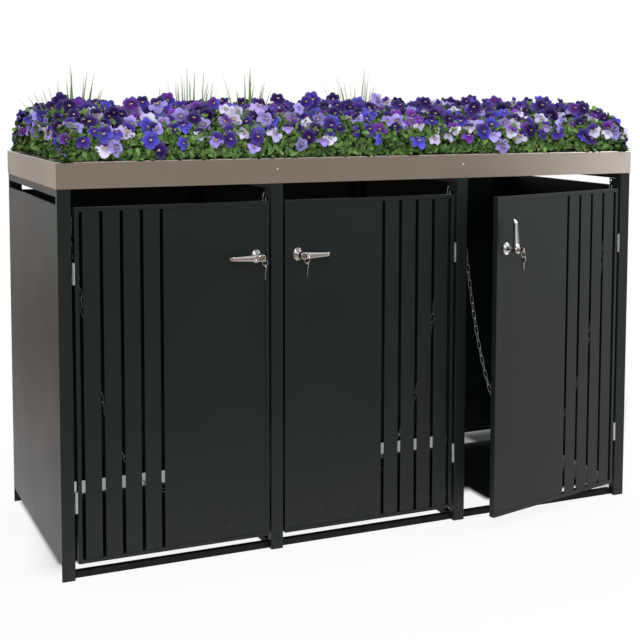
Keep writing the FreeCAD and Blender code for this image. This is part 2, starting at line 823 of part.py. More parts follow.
def make_chains():
    """Bracket plates on the posts' returns and the chain that sags between them."""
    brackets = []
    link = chain_link()
    pitch = link_inner_length - link_clearance
    seat_z = bracket_hole_height - bracket_hole_radius + bracket_seat
    chain_y = front_y + chain_setback
    for name in bay_names:
        x0, x1 = bay_spans[name]
        for post_x, way in ((x0, 1), (x1, -1)):
            plate = block(post_x, post_x + way * bracket_thickness, front_y + bracket_start,
                          front_y + bracket_end, bracket_top - bracket_height, bracket_top)
            hole = many_sided(bracket_hole_sides, bracket_hole_radius,
                              Vec(post_x - way * bracket_thickness, chain_y, bracket_hole_height),
                              Vec(way * bracket_thickness * 3, 0, 0))
            brackets.append(plate.cut(hole))
        centre = (x0 + x1) / 2
        half_span = (x1 - x0 - bracket_thickness) / 2
        half_length = (link_inner_length + (chain_links - 1) * pitch) / 2
        parameter = catenary_parameter(half_span, half_length)
        lowest = seat_z - parameter * (math.cosh(half_span / parameter) - 1)
        links = []
        for index in range(chain_links):
            arc = (index - (chain_links - 1) / 2) * pitch
            across = parameter * math.asinh(arc / parameter)
            placed = link.copy()
            roll = 90 if index % 2 == 0 else 0
            placed.rotate(Vec(0, 0, 0), Vec(1, 0, 0), roll)
            slope = math.degrees(math.atan(arc / parameter))
            placed.rotate(Vec(0, 0, 0), Vec(0, -1, 0), slope)
            height = lowest + parameter * (math.cosh(across / parameter) - 1)
            placed.translate(Vec(centre + across, chain_y, height))
            links.append(placed)
        save("chain_" + name, *links)
    save("chain_brackets", *brackets)
    print("chain: parameter %.1f, lowest %.1f, pitch %.2f" % (parameter, lowest, pitch))


make_walls()
make_bars()
make_tray()
make_planting()
make_doors()
make_locks()
make_chains()
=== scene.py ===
import json
import math
from functools import partial, reduce

import bmesh
import bpy
import numpy as np
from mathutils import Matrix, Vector


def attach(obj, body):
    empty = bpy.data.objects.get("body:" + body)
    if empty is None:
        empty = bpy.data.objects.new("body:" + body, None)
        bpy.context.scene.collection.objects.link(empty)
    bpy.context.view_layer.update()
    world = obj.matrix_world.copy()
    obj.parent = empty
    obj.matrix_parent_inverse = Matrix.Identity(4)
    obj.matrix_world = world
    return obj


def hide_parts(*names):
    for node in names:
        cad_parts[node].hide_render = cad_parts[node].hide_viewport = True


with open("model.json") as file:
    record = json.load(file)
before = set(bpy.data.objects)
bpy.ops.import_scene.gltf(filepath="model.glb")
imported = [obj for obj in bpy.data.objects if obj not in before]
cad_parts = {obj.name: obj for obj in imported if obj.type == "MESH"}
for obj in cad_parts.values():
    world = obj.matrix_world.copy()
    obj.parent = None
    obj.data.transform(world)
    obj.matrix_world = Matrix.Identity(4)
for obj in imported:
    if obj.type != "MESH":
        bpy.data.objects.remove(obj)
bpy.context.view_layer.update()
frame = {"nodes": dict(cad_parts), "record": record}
nodes = frame["nodes"]
subparts = frame["record"]["subparts"]
bays = ("left", "mid", "right")
print("frame loaded")


def placed(name, data):
    made = bpy.data.objects.new(name, data)
    bpy.context.scene.collection.objects.link(made)
    return made


def meshPiece(name, points, faces, material, body, slot, node=None, uv=None, tint=None, weld=False, crisp=0):
    # (n, 3) points in metres, (m, 4) point numbers; edges past crisp degrees stay sharp
    mesh = bpy.data.meshes.new(name)
    mesh.from_pydata(points, [], faces, shade_flat=False)
    if uv is not None:
        layer = mesh.uv_layers.new(name="UVMap")
        layer.data.foreach_set("uv", np.asarray(uv, np.float32)[faces.ravel()].ravel())
    if tint is not None:
        layer = mesh.color_attributes.new("tint", "FLOAT_COLOR", "POINT")
        colours = np.ones((len(points), 4), np.float32)
        colours[:, :3] = tint
        layer.data.foreach_set("color", colours.ravel())
    mesh.materials.append(material)
    piece = placed(name, mesh)
    if weld:
        weldPoles(mesh)
    if crisp:
        mesh.set_sharp_from_angle(angle=math.radians(crisp))
    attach(piece, body)
    if node:
        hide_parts(node)


def weldPoles(mesh):
    # joins points that fall together at a pole or a seam, and turns the shell the right way out
    work = bmesh.new()
    work.from_mesh(mesh)
    bmesh.ops.remove_doubles(work, verts=work.verts, dist=1e-6)
    bmesh.ops.recalc_face_normals(work, faces=work.faces)
    work.to_mesh(mesh)
    work.free()


def xyz(x, y, z):
    # points from three arrays or numbers, spread to one shape
    return np.stack(np.broadcast_arrays(x, y, z), -1)


def gridFaces(rows, columns, wrap=False):
    # faces between the points of a rows by columns grid; wrap joins the last column to the first
    row = np.arange(rows - 1)[:, None] * columns
    column = np.arange(columns if wrap else columns - 1)[None, :]
    after = (column + 1) % columns
    corners = [row + column, row + after, row + columns + after, row + columns + column]
    return np.stack(corners, -1).reshape(-1, 4)


def joined(parts):
    # one set of points and faces from several
    points, faces = zip(*parts)
    starts = np.cumsum([0] + [len(each) for each in points])
    return np.concatenate(points), np.concatenate([each + start for each, start in zip(faces, starts)])


def repeated(faces, count, size):
    # the faces of count copies of a shape with size points
    return (faces[None] + (np.arange(count) * size)[:, None, None]).reshape(-1, faces.shape[1])


def copies(points, faces, turns, places, sizes):
    # point p of copy k lands at turns[k] @ (sizes[k] * p) + places[k]
    spread = np.einsum("kij,nj->kni", turns, points) * sizes[:, None, None] + places[:, None, :]
    return spread.reshape(-1, 3), repeated(faces, len(places), len(points))


def roundAngles(count):
    return np.linspace(0, 2 * math.pi, count, endpoint=False)


def turned(x, y, degrees):
    # a pair of coordinates after a turn to the left
    turn = math.radians(degrees)
    return x * math.cos(turn) - y * math.sin(turn), x * math.sin(turn) + y * math.cos(turn)


def capped(rings):
    # rows of points around a body, closed at both ends by a point in the middle of the end row
    ends = rings[[0, -1]].mean(1, keepdims=True) + 0 * rings[[0, -1]]
    rows = np.concatenate([ends[:1], rings, ends[1:]])
    return rows.reshape(-1, 3), gridFaces(len(rows), rings.shape[1], wrap=True)


def lathe(profile, around):
    # turns (outwards, radius) pairs in millimetres about the spindle, which runs along -Y
    outward, radius = np.array(profile).T[:, :, None] / 1000
    angle = roundAngles(around)
    points = xyz(radius * np.cos(angle), -outward, radius * np.sin(angle))
    return points.reshape(-1, 3), gridFaces(len(profile), around, wrap=True)


def tube(path, normal, radius, around):
    # carries a circle along a closed flat path, whose across direction is normal x tangent
    across = np.cross(normal, unit(np.roll(path, -1, 0) - np.roll(path, 1, 0)))
    angle = roundAngles(around)[:, None]
    rows = path[:, None] + radius * (across[:, None] * np.cos(angle) + np.array(normal) * np.sin(angle))
    faces = gridFaces(len(rows) + 1, around, wrap=True) % (len(path) * around)
    return rows.reshape(-1, 3), faces


def unit(vectors):
    return vectors / np.maximum(np.linalg.norm(vectors, axis=-1, keepdims=True), 1e-9)


def smoothStep(value):
    value = np.clip(value, 0, 1)
    return value * value * (3 - 2 * value)


def linear(red, green, blue):
    # 0-255 screen colour to the linear values that a shader takes
    values = np.array([red, green, blue]) / 255
    return tuple(np.where(values <= 0.04045, values / 12.92, ((values + 0.055) / 1.055) ** 2.4))


cameraSettings = {
    "place": (-1.757, -3.568, 1.4453),
    "yaw": 23.926,    # degrees to the right of +Y
    "pitch": 4.54,    # degrees down
    "roll": -0.129,
    "lens": 68.97,
    "shiftY": -0.200,
}


def setCamera():
    s = cameraSettings
    camera = placed("camera", bpy.data.cameras.new("camera"))
    camera.data.lens = s["lens"]
    camera.data.sensor_width = 36
    camera.data.shift_y = s["shiftY"]
    camera.data.clip_end = 100
    camera.location = s["place"]
    camera.rotation_euler = (math.radians(90 - s["pitch"]), 0, math.radians(-s["yaw"]))
    camera.rotation_euler.rotate_axis("Z", math.radians(-s["roll"]))
    bpy.context.scene.camera = camera
    bpy.context.scene.view_settings.view_transform = "Standard"


setCamera()


class Board:
    # a node tree, with short calls that add nodes and join them
    def __init__(self, tree):
        self.tree = tree

    def add(self, kind, settings=None, **inputs):
        made = self.tree.nodes.new("ShaderNode" + kind)
        for key, value in (settings or {}).items():
            setattr(made, key, value)
        return self.fill(made, inputs)

    def fill(self, node, inputs):
        for key, value in inputs.items():
            self.give(node, key.replace("_", " "), value)
        return node

    def give(self, node, socket, value):
        if isinstance(value, bpy.types.NodeSocket):
            self.tree.links.new(value, node.inputs[socket])
        else:
            node.inputs[socket].default_value = value

    def place(self):
        return self.add("TexCoord").outputs["Object"]

    def split(self, vector):
        return self.add("SeparateXYZ", Vector=vector).outputs

    def noise(self, place, scale, detail):
        return self.add("TexNoise", Vector=place, Scale=scale, Detail=detail).outputs["Fac"]

    def cells(self, scale, output):
        return self.add("TexVoronoi", Vector=self.place(), Scale=scale).outputs[output]

    def bump(self, height, distance, strength, **inputs):
        made = self.add("Bump", Height=height, Distance=distance, Strength=strength, **inputs)
        return made.outputs["Normal"]

    def math(self, operation, first, second=0.0, clamp=False):
        made = self.add("Math", {"operation": operation, "use_clamp": clamp})
        self.give(made, 0, first)
        self.give(made, 1, second)
        return made.outputs[0]

    def running(operation):
        # a call that runs on from value to value
        return lambda self, *values: reduce(partial(self.math, operation), values)

    plus, less, product, most = map(running, ("ADD", "SUBTRACT", "MULTIPLY", "MAXIMUM"))

    def vector(self, operation, first, second=(0, 0, 0)):
        made = self.add("VectorMath", {"operation": operation})
        self.give(made, 0, first)
        self.give(made, 1, second)
        return made.outputs["Value" if operation in ("DOT_PRODUCT", "LENGTH") else "Vector"]

    def upright(self, z):
        return self.add("CombineXYZ", X=0.0, Y=0.0, Z=z).outputs[0]

    def grey(self, shade):
        return self.add("CombineXYZ", X=shade, Y=shade, Z=shade).outputs[0]

    def mix(self, share, first, second, blend="MIX"):
        made = self.add("Mix", {"data_type": "RGBA", "blend_type": blend})
        for socket, value in ((0, share), (6, first), (7, second)):
            self.give(made, socket, value)
        return made.outputs[2]

    def shaded(self, colour, shade):
        return self.mix(1.0, colour, self.grey(shade), "MULTIPLY")

    def ranged(self, value, low, high, toLow=0.0, toHigh=1.0, smooth=False):
        made = self.add("MapRange", {"interpolation_type": "SMOOTHSTEP" if smooth else "LINEAR"})
        for socket, amount in enumerate((value, low, high, toLow, toHigh)):
            self.give(made, socket, amount)
        return made.outputs[0]

    def zone(self, settings, smooth=False, **values):
        # product of ramps from the settings, each laid over the value given under its name
        ramps = [self.ranged(value, *settings[name], smooth=smooth) for name, value in values.items()]
        return self.product(*ramps)

    def softZone(self, settings, **values):
        return self.zone(settings, True, **values)


class Finish(Board):
    # a material with its main shader
    def __init__(self, name, **sockets):
        self.material = bpy.data.materials.new(name)
        self.material.use_nodes = True
        Board.__init__(self, self.material.node_tree)
        self.surface = self.tree.nodes["Principled BSDF"]
        self.set(**sockets)

    def set(self, **sockets):
        self.fill(self.surface, sockets)


class Effect(Board):
    # a node group with named sockets, shared by several materials
    def __init__(self, name, inputs, outputs):
        Board.__init__(self, bpy.data.node_groups.new(name, "ShaderNodeTree"))
        for way, sockets in (("INPUT", inputs), ("OUTPUT", outputs)):
            for label, kind, *value in sockets:
                kind = "NodeSocket" + kind
                socket = self.tree.interface.new_socket(name=label, in_out=way, socket_type=kind)
                if value:
                    socket.default_value = value[0]
        self.entry = self.tree.nodes.new("NodeGroupInput").outputs
        self.exit = self.tree.nodes.new("NodeGroupOutput")

    def close(self, **outputs):
        self.fill(self.exit, outputs)
        return self.tree


def screen(red, green, blue):
    return (*linear(red, green, blue), 1.0)


white = (1, 1, 1, 1)
# noises are scale and detail; ramps are from and to, then the strengths there if not 0 and 1
coatSettings = {
    "cloud": (3.5, 3.0), "peel": (900.0, 1.0), "peelStrength": 0.35, "speck": (45.0, 6.0), "edge": 0.0025,
    "tone": (0.3, 0.7, 0.94, 1.06), "roughness": (0.3, 0.7, -0.03, 0.03),
    "dustHeight": (0.0, 0.30, 1.0, 0.0), "dustSpots": (0.4, 0.75), "dustColour": screen(150, 142, 130),
}
marksSettings = {"patch": (60.0, 3.0), "marks": (0.45, 0.7)}


def coatEffect():
    # powder coat: a fine orange peel, a faint cloudiness, a little dust low down and edges that look round
    s = coatSettings
    made = Effect("powderCoat",
                  [("Color", "Color", (0.02, 0.02, 0.02, 1)), ("Roughness", "Float", 0.45),
                   ("Peel", "Float", 0.00004), ("Dust", "Float", 0.03)],
                  [("Color", "Color"), ("Roughness", "Float"), ("Normal", "Vector")])
    place = made.place()
    cloud, peel, speck = [made.noise(place, *s[name]) for name in ("cloud", "peel", "speck")]
    low = made.softZone(s, dustHeight=made.split(place)["Z"])
    dust = made.product(low, made.zone(s, dustSpots=speck), made.entry["Dust"])
    tone = made.shaded(made.entry["Color"], made.zone(s, tone=cloud))
    rough = made.plus(made.entry["Roughness"], made.zone(s, roughness=cloud), dust)
    edge = made.add("Bevel", {"samples": 4}, Radius=s["edge"]).outputs["Normal"]
    return made.close(Color=made.mix(dust, tone, s["dustColour"]), Roughness=rough,
                      Normal=made.bump(peel, made.entry["Peel"], s["peelStrength"], Normal=edge))


def marksEffect():
    # handled metal: soft finger marks that dull the polish in patches
    s = marksSettings
    made = Effect("fingerMarks", [("Roughness", "Float", 0.08), ("Marks", "Float", 0.12)],
                  [("Roughness", "Float")])
    patch = made.noise(made.place(), *s["patch"])
    marks = made.product(made.zone(s, marks=patch), made.entry["Marks"])
    return made.close(Roughness=made.plus(made.entry["Roughness"], marks))


powderCoat, fingerMarks = coatEffect(), marksEffect()

# paint of a slot: material, colour, roughness, level and tint of the shine
paintSettings = {
    "anthracite_paint": ("anthracitePaint", screen(19, 25, 26), 0.40, 0.31, (0.95, 1.0, 0.99, 1)),
    # a near-black matt tone, much darker than the anthracite
    "black_paint": ("nearBlack", screen(11, 12, 12), 0.60, 0.20, white),
}
# polished metal of a slot: material, colour, roughness, finger marks
metalSettings = {
    "chrome": ("chromePlate", screen(208, 207, 210), 0.08, 0.08),
    "key_nickel": ("wornNickel", screen(204, 202, 198), 0.20, 0.16),
    "lock_brass": ("lockBrass", screen(178, 168, 152), 0.28, 0.20),
}
traySettings = {
    "colour": screen(205, 198, 190), "roughness": 0.23, "anisotropy": 0.88,
    "stretch": (2.0, 2.0, 2600.0), "lines": (1.0, 2.0), "depth": 0.00001, "shade": (0.3, 0.7, 0.985, 1.015),
    "lineRough": (0.3, 0.7, -0.015, 0.015), "patch": (2.2, 2.0), "patchRough": (0.3, 0.7, -0.02, 0.02),
    "strength": 0.3, "rim": (1.2450, 1.2500, 0.0, 1.6),    # the folded edge is round: its normal turns up
}
zincSettings = {"crystals": 260.0, "grey": (0.0, 1.0, 0.46, 0.64), "roughness": (0.0, 1.0, 0.30, 0.42)}
compostSettings = {"crumbs": (90.0, 6.0), "height": 0.004,
                   "colours": (screen(38, 27, 18), screen(82, 62, 44))}
shadeSettings = {"spots": 75.0, "depth": (0.1, 0.6), "height": 0.01,
                 "colours": (screen(46, 74, 30), screen(14, 26, 10))}
# layers of colour over a petal's tint, as ramps of the distance from the middle of the head
petalFinish = {
    "rim": (0.6, 1.05, 0.0, 0.18), "rimColour": screen(176, 166, 226),
    "heart": (0.46, 0.20, 0.0, 0.55), "heartColour": screen(52, 22, 88),
    "whisker": (0.62, 0.22, 0.0, 0.8), "whiskerColour": screen(32, 10, 56),
    "eye": (0.19, 0.13), "eyeColour": screen(224, 208, 122),
    "veins": 42, "veinWidth": (0.1, 0.7), "fibres": 80, "fibreTone": (-1.0, 1.0, 0.78, 1.10),
}
leafFinish = {"rib": 0.16, "slant": 0.35, "veins": 44.0, "veinWidth": (0.6, 1.0),
              "veinColour": screen(128, 158, 92)}


def paint(name, colour, roughness, level, shine):
    made = Finish(name, Specular_IOR_Level=level, Specular_Tint=shine)
    coat = made.add("Group", {"node_tree": powderCoat}, Color=colour, Roughness=roughness).outputs
    made.set(Base_Color=coat["Color"], Roughness=coat["Roughness"], Normal=coat["Normal"])
    return made.material


def polished(name, colour, roughness, marks):
    made = Finish(name, Base_Color=colour, Metallic=1.0)
    dulled = made.add("Group", {"node_tree": fingerMarks}, Roughness=roughness, Marks=marks)
    made.set(Roughness=dulled.outputs[0])
    return made.material


def brushedSheet():
    # noise that is long along X and Y and very fine along Z, so that its lines lie level
    s = traySettings
    made = Finish("brushedStainless", Metallic=1.0, Anisotropic=s["anisotropy"])
    place = made.place()
    lines = made.noise(made.vector("MULTIPLY", place, s["stretch"]), *s["lines"])
    patch = made.noise(place, *s["patch"])
    rough = made.plus(s["roughness"], made.zone(s, lineRough=lines), made.zone(s, patchRough=patch))
    turnedUp = made.upright(made.zone(s, rim=made.split(place)["Z"]))
    normal = made.vector("ADD", made.bump(lines, s["depth"], s["strength"]), turnedUp)
    normal = made.vector("NORMALIZE", normal)
    made.set(Base_Color=made.shaded(s["colour"], made.zone(s, shade=lines)), Roughness=rough, Normal=normal,
             Tangent=made.upright(1.0))
    return made.material


def zincPlate():
    # crystals of uneven grey, as on plated steel
    s = zincSettings
    made = Finish("zincPlate", Metallic=1.0)
    tone = made.add("SeparateColor", Color=made.cells(s["crystals"], "Color")).outputs[0]
    made.set(Base_Color=made.grey(made.zone(s, grey=tone)), Roughness=made.zone(s, roughness=tone))
    return made.material


def compost():
    s = compostSettings
    made = Finish("compost", Roughness=0.9)
    crumb = made.noise(made.place(), *s["crumbs"])
    made.set(Base_Color=made.mix(crumb, *s["colours"]), Normal=made.bump(crumb, s["height"], 1.0))
    return made.material


def shadedUnderGreen():
    # painted shade between the leaves: the lower growth in dark greens, broken into spots
    s = shadeSettings
    made = Finish("shadedUnderGrowth", Roughness=0.85)
    spot = made.cells(s["spots"], "Distance")
    made.set(Base_Color=made.mix(made.zone(s, depth=spot), *s["colours"]),
             Normal=made.bump(spot, s["height"], 1.0))
    return made.material


def tintAndMap(made):
    # a plant piece's own colour, and its u and v
    tint = made.add("VertexColor", {"layer_name": "tint"}).outputs["Color"]
    uv = made.split(made.add("UVMap", {"uv_map": "UVMap"}).outputs[0])
    return tint, uv["X"], uv["Y"]


def petals():
    # colour comes from the petal's own tint; u is the distance from the middle, v the angle round it
    s = petalFinish
    made = Finish("pansyPetals", Roughness=0.6, Specular_IOR_Level=0.06)
    colour, reach, angle = tintAndMap(made)
    vein, fibre = [made.math("SINE", made.product(angle, 2 * math.pi * s[name]))
                   for name in ("veins", "fibres")]
    whisker = made.zone(s, veinWidth=vein, whisker=reach)
    rim, heart, eye = [made.zone(s, **{name: reach}) for name in ("rim", "heart", "eye")]
    for name, mask in (("rim", rim), ("heart", heart), ("whisker", whisker), ("eye", eye)):
        colour = made.mix(mask, colour, s[name + "Colour"])
    made.set(Base_Color=made.shaded(colour, made.zone(s, fibreTone=fibre)))
    return made.material


def leafGreen(name, roughness, veins):
    # tint with a paler midrib and side veins along the leaf's own u and v
    s = leafFinish
    made = Finish(name, Roughness=roughness, Specular_IOR_Level=0.22)
    tint, along, across = tintAndMap(made)
    side = made.math("ABSOLUTE", across)
    rib = made.ranged(side, s["rib"], 0.0, 0.0, veins)
    slant = made.math("SINE", made.product(made.less(along, made.product(side, s["slant"])), s["veins"]))
    branch = made.product(made.zone(s, veinWidth=slant), veins * 0.5)
    made.set(Base_Color=made.mix(made.math("ADD", rib, branch, clamp=True), tint, s["veinColour"]))
    return made.material


zinc, soil = zincPlate(), compost()
finishes = {slot: paint(*values) for slot, values in paintSettings.items()}
finishes.update({slot: polished(*values) for slot, values in metalSettings.items()})
finishes.update(brushed_stainless=brushedSheet(), zinc_steel=zinc, compost=soil)
finishes.update(leaves_and_flowers=soil, grass=soil)
# radius in metres that rounds the sheet edges of the nodes whose names start so
edgeRadius = {0.0012: ("door_frame",), 0.0005: ("door_sheet",), 0.0008: ("planter_tray",),
              0.0010: ("front_sill", "left_side", "right_side", "mid_front")}


def dressNodes():
    for subpart in subparts:
        node = nodes[subpart["node"]]
        node.data.materials.clear()
        node.data.materials.append(finishes[subpart["material_slot"]])
        for radius, starts in edgeRadius.items():
            if subpart["node"].startswith(starts):
                bevel = node.modifiers.new("edges", "BEVEL")
                bevel.width = radius
                bevel.segments = 2
                bevel.limit_method = "ANGLE"
                bevel.angle_limit = math.radians(50)


dressNodes()
print("finishes on the metal parts")

# locks are drawn about the spindle: lever along +X, outwards along -Y, in metres
lockSettings = {
    "handleHeight": 0.944, "frontY": -0.030,
    # spindle and hinge with the doors shut, turns of lever and door in degrees, mirrored or not
    "left": (-0.403333, -0.975, 0, 0, True),
    "mid": (-0.263333, 0.308333, 0, 0, False),
    "right": (0.403333, 0.975, 90, 14, False),
}
leverSettings = {
    "start": 0.005, "length": 0.1005,
    "height": (0.0215, 0.0110), "back": (0.0360, 0.0330), "front": (0.0505, 0.0425),    # root and tip
    "groove": (0.015, 0.090), "grooveRamp": 0.005, "grooveMargin": 0.0024, "grooveDepth": 0.42,
    "grooveFace": 0.6, "tipBend": 0.0075, "bendFrom": 0.084, "endRound": 0.0052, "roundness": 0.42,
    "around": 72,
}
keySettings = {
    "shoulder": 0.059, "bowRadius": 0.0105,
    "holeRadius": 0.0026, "holeFromMiddle": 0.0055, "thickness": 0.0020,
    "rimBevel": (0.97, 0.7), "bladeEnd": 0.040, "bladeWidth": 0.0080, "bladeRoot": 0.004, "notch": 0.24,
    "spareBlade": 0.026, "ringRadius": 0.0082, "ringWire": 0.0006, "ringPlay": 0.0002, "around": 40,
    "bowWave": 0.05, "notchFrom": 0.25, "point": 0.08, "pointWidth": 0.25, "turnOffset": 0.85,
}
# turned outlines: (outwards, radius) in millimetres
lockProfiles = {
    # edge, raised bead, valley and flat middle
    "rose": [(-1.5, 0), (-1.5, 16.0), (0.4, 16.0), (1.6, 15.7), (2.3, 15.0), (2.3, 14.2), (1.5, 13.4),
             (1.0, 12.7), (1.0, 12.0), (1.5, 11.3), (2.6, 10.8), (3.5, 10.5), (4.0, 9.8), (4.0, 6.0),
             (4.0, 0)],
    # waisted
    "neck": [(4.3, 0), (4.3, 8.2), (5.5, 8.6), (6.8, 8.2), (10.0, 7.2), (15.0, 6.8), (21.0, 7.3), (26.0, 8.8),
             (29.5, 10.5), (30.0, 0)],
    # with a bead round its front and a seat for the cylinder
    "boss": [(29.0, 0), (29.0, 10.0), (29.7, 11.3), (31.0, 11.9), (33.0, 12.0), (50.0, 12.0), (52.0, 11.8),
             (53.3, 11.1), (54.0, 10.0), (53.8, 8.8), (53.2, 8.0), (52.2, 7.4), (52.2, 0)],
    "spindle": [(-31.0, 0), (-31.0, 3.5), (-30.6, 3.9), (30.0, 3.9), (30.0, 0)],
    # domed head on its shank
    "rivet": [(-6.5, 0), (-6.5, 1.9), (0.0, 1.9), (0.0, 4.0), (0.6, 3.9), (1.1, 3.2), (1.4, 2.0), (1.5, 0)],
}
roseStretch = (1, 1, 1.3)    # upwards into an oval
leverParts = {"neck": 40, "boss": 56, "spindle": 24}    # with the points around each


def leverSurface():
    # sections along x are rounded boxes |y/a|^p + |z/b|^p = 1 that taper and bend at the tip; the hollow
    # in front has the depth g (1 - z^2 / w^2) w, with w its half width
    s = leverSettings
    atTip = 0.9 + 0.1 * np.sin(np.linspace(0.12, 1, 12) * math.pi / 2)
    share = np.concatenate([np.linspace(0, 0.9, 44), atTip])[:, None]
    x = s["start"] + share * (s["length"] - s["start"])
    angle = roundAngles(s["around"])
    across, rise = [np.sign(wave) * np.abs(wave) ** s["roundness"] for wave in (np.cos(angle), np.sin(angle))]
    height, back, front = [root + (tip - root) * share for root, tip in (s["height"], s["back"], s["front"])]
    intoTip = ((x - s["length"] + s["endRound"]) / s["endRound"]).clip(0)
    closing = np.sqrt(np.clip(1 - intoTip ** 2, 0.0004, 1))
    half = height / 2 * closing
    z = half * rise
    inner = np.maximum(half - s["grooveMargin"], 0.0005)
    first, last = s["groove"]
    groove = smoothStep((x - first) / s["grooveRamp"]) * smoothStep((last - x) / s["grooveRamp"])
    groove = groove * inner * np.clip(1 - (z / inner) ** 2, 0, 1) * (across > s["grooveFace"])
    bend = s["tipBend"] * smoothStep((x - s["bendFrom"]) / (s["length"] - s["bendFrom"])) ** 1.5
    outward = (front + back) / 2 + (front - back) / 2 * closing * across - s["grooveDepth"] * groove - bend
    return capped(xyz(x, -outward, z))


def bowPlate(middle, hole):
    # flat key head in the YZ plane: rings of points run from the hole to the rim and back on the other side
    s = keySettings
    angle = roundAngles(s["around"])
    outline = xyz(0, np.cos(angle), np.sin(angle))
    inner = np.array([0, *hole]) + outline * s["holeRadius"]
    wave = 1 - s["bowWave"] + s["bowWave"] * np.cos(3 * angle)[:, None]
    outer = np.array([0, *middle]) + outline * s["bowRadius"] * wave
    near, rim = s["rimBevel"]
    rings = []
    for side, share in ((-1, 0.0), (-1, near), (-rim, 1.0), (rim, 1.0), (1, near), (1, 0.0), (-1, 0.0)):
        rings.append(inner + (outer - inner) * share + (side * s["thickness"] / 2, 0, 0))
    return np.concatenate(rings), gridFaces(len(rings), len(angle), wrap=True)


def bladeBar(start, end, cuts, hangs):
    # notched four-cornered bar along Y, or along Z for the key that hangs; start and end are (y, z)
    s = keySettings
    share = np.linspace(0, 1, 60)
    cut = (np.sin(share * math.pi * 2 * cuts) > 0) * (share > s["notchFrom"])
    notch = s["notch"] * s["bladeWidth"] * cut
    taper = np.minimum(1, (1 - share) / s["point"] + s["pointWidth"])
    low, high = (notch - s["bladeWidth"] / 2) * taper, s["bladeWidth"] / 2 * taper
    half = s["thickness"] * 0.475
    y, z = [first + (last - first) * share for first, last in zip(start, end)]
    corners = []
    for x, edge in ((-half, low), (-half, high), (half, high), (half, low)):
        corners.append(xyz(x, y + edge, z) if hangs else xyz(x, y, z + edge))
    return capped(np.stack(corners, 1))


def keySurface():
    s = keySettings
    middle = s["shoulder"] + s["bowRadius"]
    bow = bowPlate((-middle, 0), (-middle - s["holeFromMiddle"], 0))
    return joined([bow, bladeBar((s["bladeRoot"] - middle, 0), (-s["bladeEnd"], 0), 3, False)])


def ringSurface():
    # two turns of round wire side by side, and the spare key that hangs from them
    s = keySettings
    holeY = -(s["shoulder"] + s["bowRadius"] + s["holeFromMiddle"])
    centreZ = s["ringPlay"] - s["holeRadius"] - s["ringRadius"]
    angle = roundAngles(s["around"])
    reach = s["ringRadius"] + s["ringWire"]
    parts = []
    for side in (-s["turnOffset"], s["turnOffset"]):
        path = xyz(np.cos(angle) * reach, holeY + side * s["ringWire"], centreZ + np.sin(angle) * reach)
        parts.append(tube(path, (0, 1, 0), s["ringWire"], 8))
    holeZ = centreZ - s["ringRadius"] + s["ringPlay"] - s["holeRadius"]
    bowZ = holeZ - s["holeFromMiddle"]
    parts.append(bowPlate((holeY, bowZ), (holeY, holeZ)))
    tip = bowZ - s["bowRadius"] - s["spareBlade"]
    parts.append(bladeBar((holeY, bowZ - s["bladeRoot"]), (holeY, tip), 4, True))
    return joined(parts)


def lockPiece(name, bay, surface, body, node, slot, crisp):
    # same moves as the solid's: lever turn and mirror, place on the door, swing with the door
    s = lockSettings
    spindle, hinge, leverTurn, doorTurn, mirrored = s[bay]
    points, faces = surface
    x, y, z = points.T
    if name == "lever":
        x, z = turned(x, z, leverTurn)
        if mirrored:
            x, faces = -x, faces[:, ::-1]
    x, y = turned(x + spindle - hinge, y, doorTurn)
    meshPiece(name + bay.capitalize(), xyz(x + hinge, y + s["frontY"], z + s["handleHeight"]), faces,
              finishes[slot], body + bay, slot, node + bay, weld=True, crisp=crisp)


turnedParts = [lathe(lockProfiles[name], around) for name, around in leverParts.items()]
rosePoints, roseFaces = lathe(lockProfiles["rose"], 56)
# piece: surface, body, node, slot, angle of a sharp edge
lockPieces = {
    "lever": (joined([leverSurface(), *turnedParts]), "handle_", "handle_", "chrome", 50),
    "rose": ((rosePoints * roseStretch, roseFaces), "door_", "escutcheon_", "chrome", 50),
    "key": (keySurface(), "key_", "key_", "key_nickel", 35),
    "keyRing": (ringSurface(), "ring_", "key_ring_", "key_nickel", 35),
}
for bay in bays:
    for name, settings in lockPieces.items():
        lockPiece(name, bay, *settings)
print("levers, roses and keys")

rivetSettings = {"posts": (-0.333333, 0.333333), "height": 1.214, "frontY": -0.032, "rearY": 0.772}


def rivets():
    s = rivetSettings
    points, faces = lathe(lockProfiles["rivet"], 24)
    parts = []
    for x in s["posts"]:
        parts.append((points + (x, s["frontY"], s["height"]), faces))
        parts.append((points * (1, -1, 1) + (x, s["rearY"], s["height"]), faces[:, ::-1]))
    meshPiece("rivetHeads", *joined(parts), zinc, "frame", "zinc_steel", "tray_rivets", weld=True, crisp=50)


rivets()

chainSettings = {
    "innerLength": 0.0280, "innerWidth": 0.0070, "wire": 0.0030, "clearance": 0.0009, "links": 75,
    "y": 0.022, "seat": 1.137, "bracket": 0.002,
    "left": (-0.980, -0.353333), "mid": (-0.313333, 0.313333), "right": (0.353333, 0.980),    # spans
}


def catenaryParameter(halfSpan, halfLength):
    # halving search for a in halfLength = a sinh(halfSpan / a)
    low, high = halfSpan / 20, halfSpan * 20
    for step in range(60):
        middle = (low + high) / 2
        if middle * math.sinh(halfSpan / middle) > halfLength:
            low = middle
        else:
            high = middle
    return low


def linkSurface():
    # a round wire bent into a long loop of two half circles and two straights
    s = chainSettings
    bend = (s["innerWidth"] + s["wire"]) / 2
    straight = (s["innerLength"] + s["wire"]) / 2 - bend
    turn = np.linspace(-math.pi / 2, math.pi / 2, 5)
    right = xyz(straight + bend * np.cos(turn), bend * np.sin(turn), 0)
    return tube(np.concatenate([right, -right]), (0, 0, 1), s["wire"] / 2, 6)


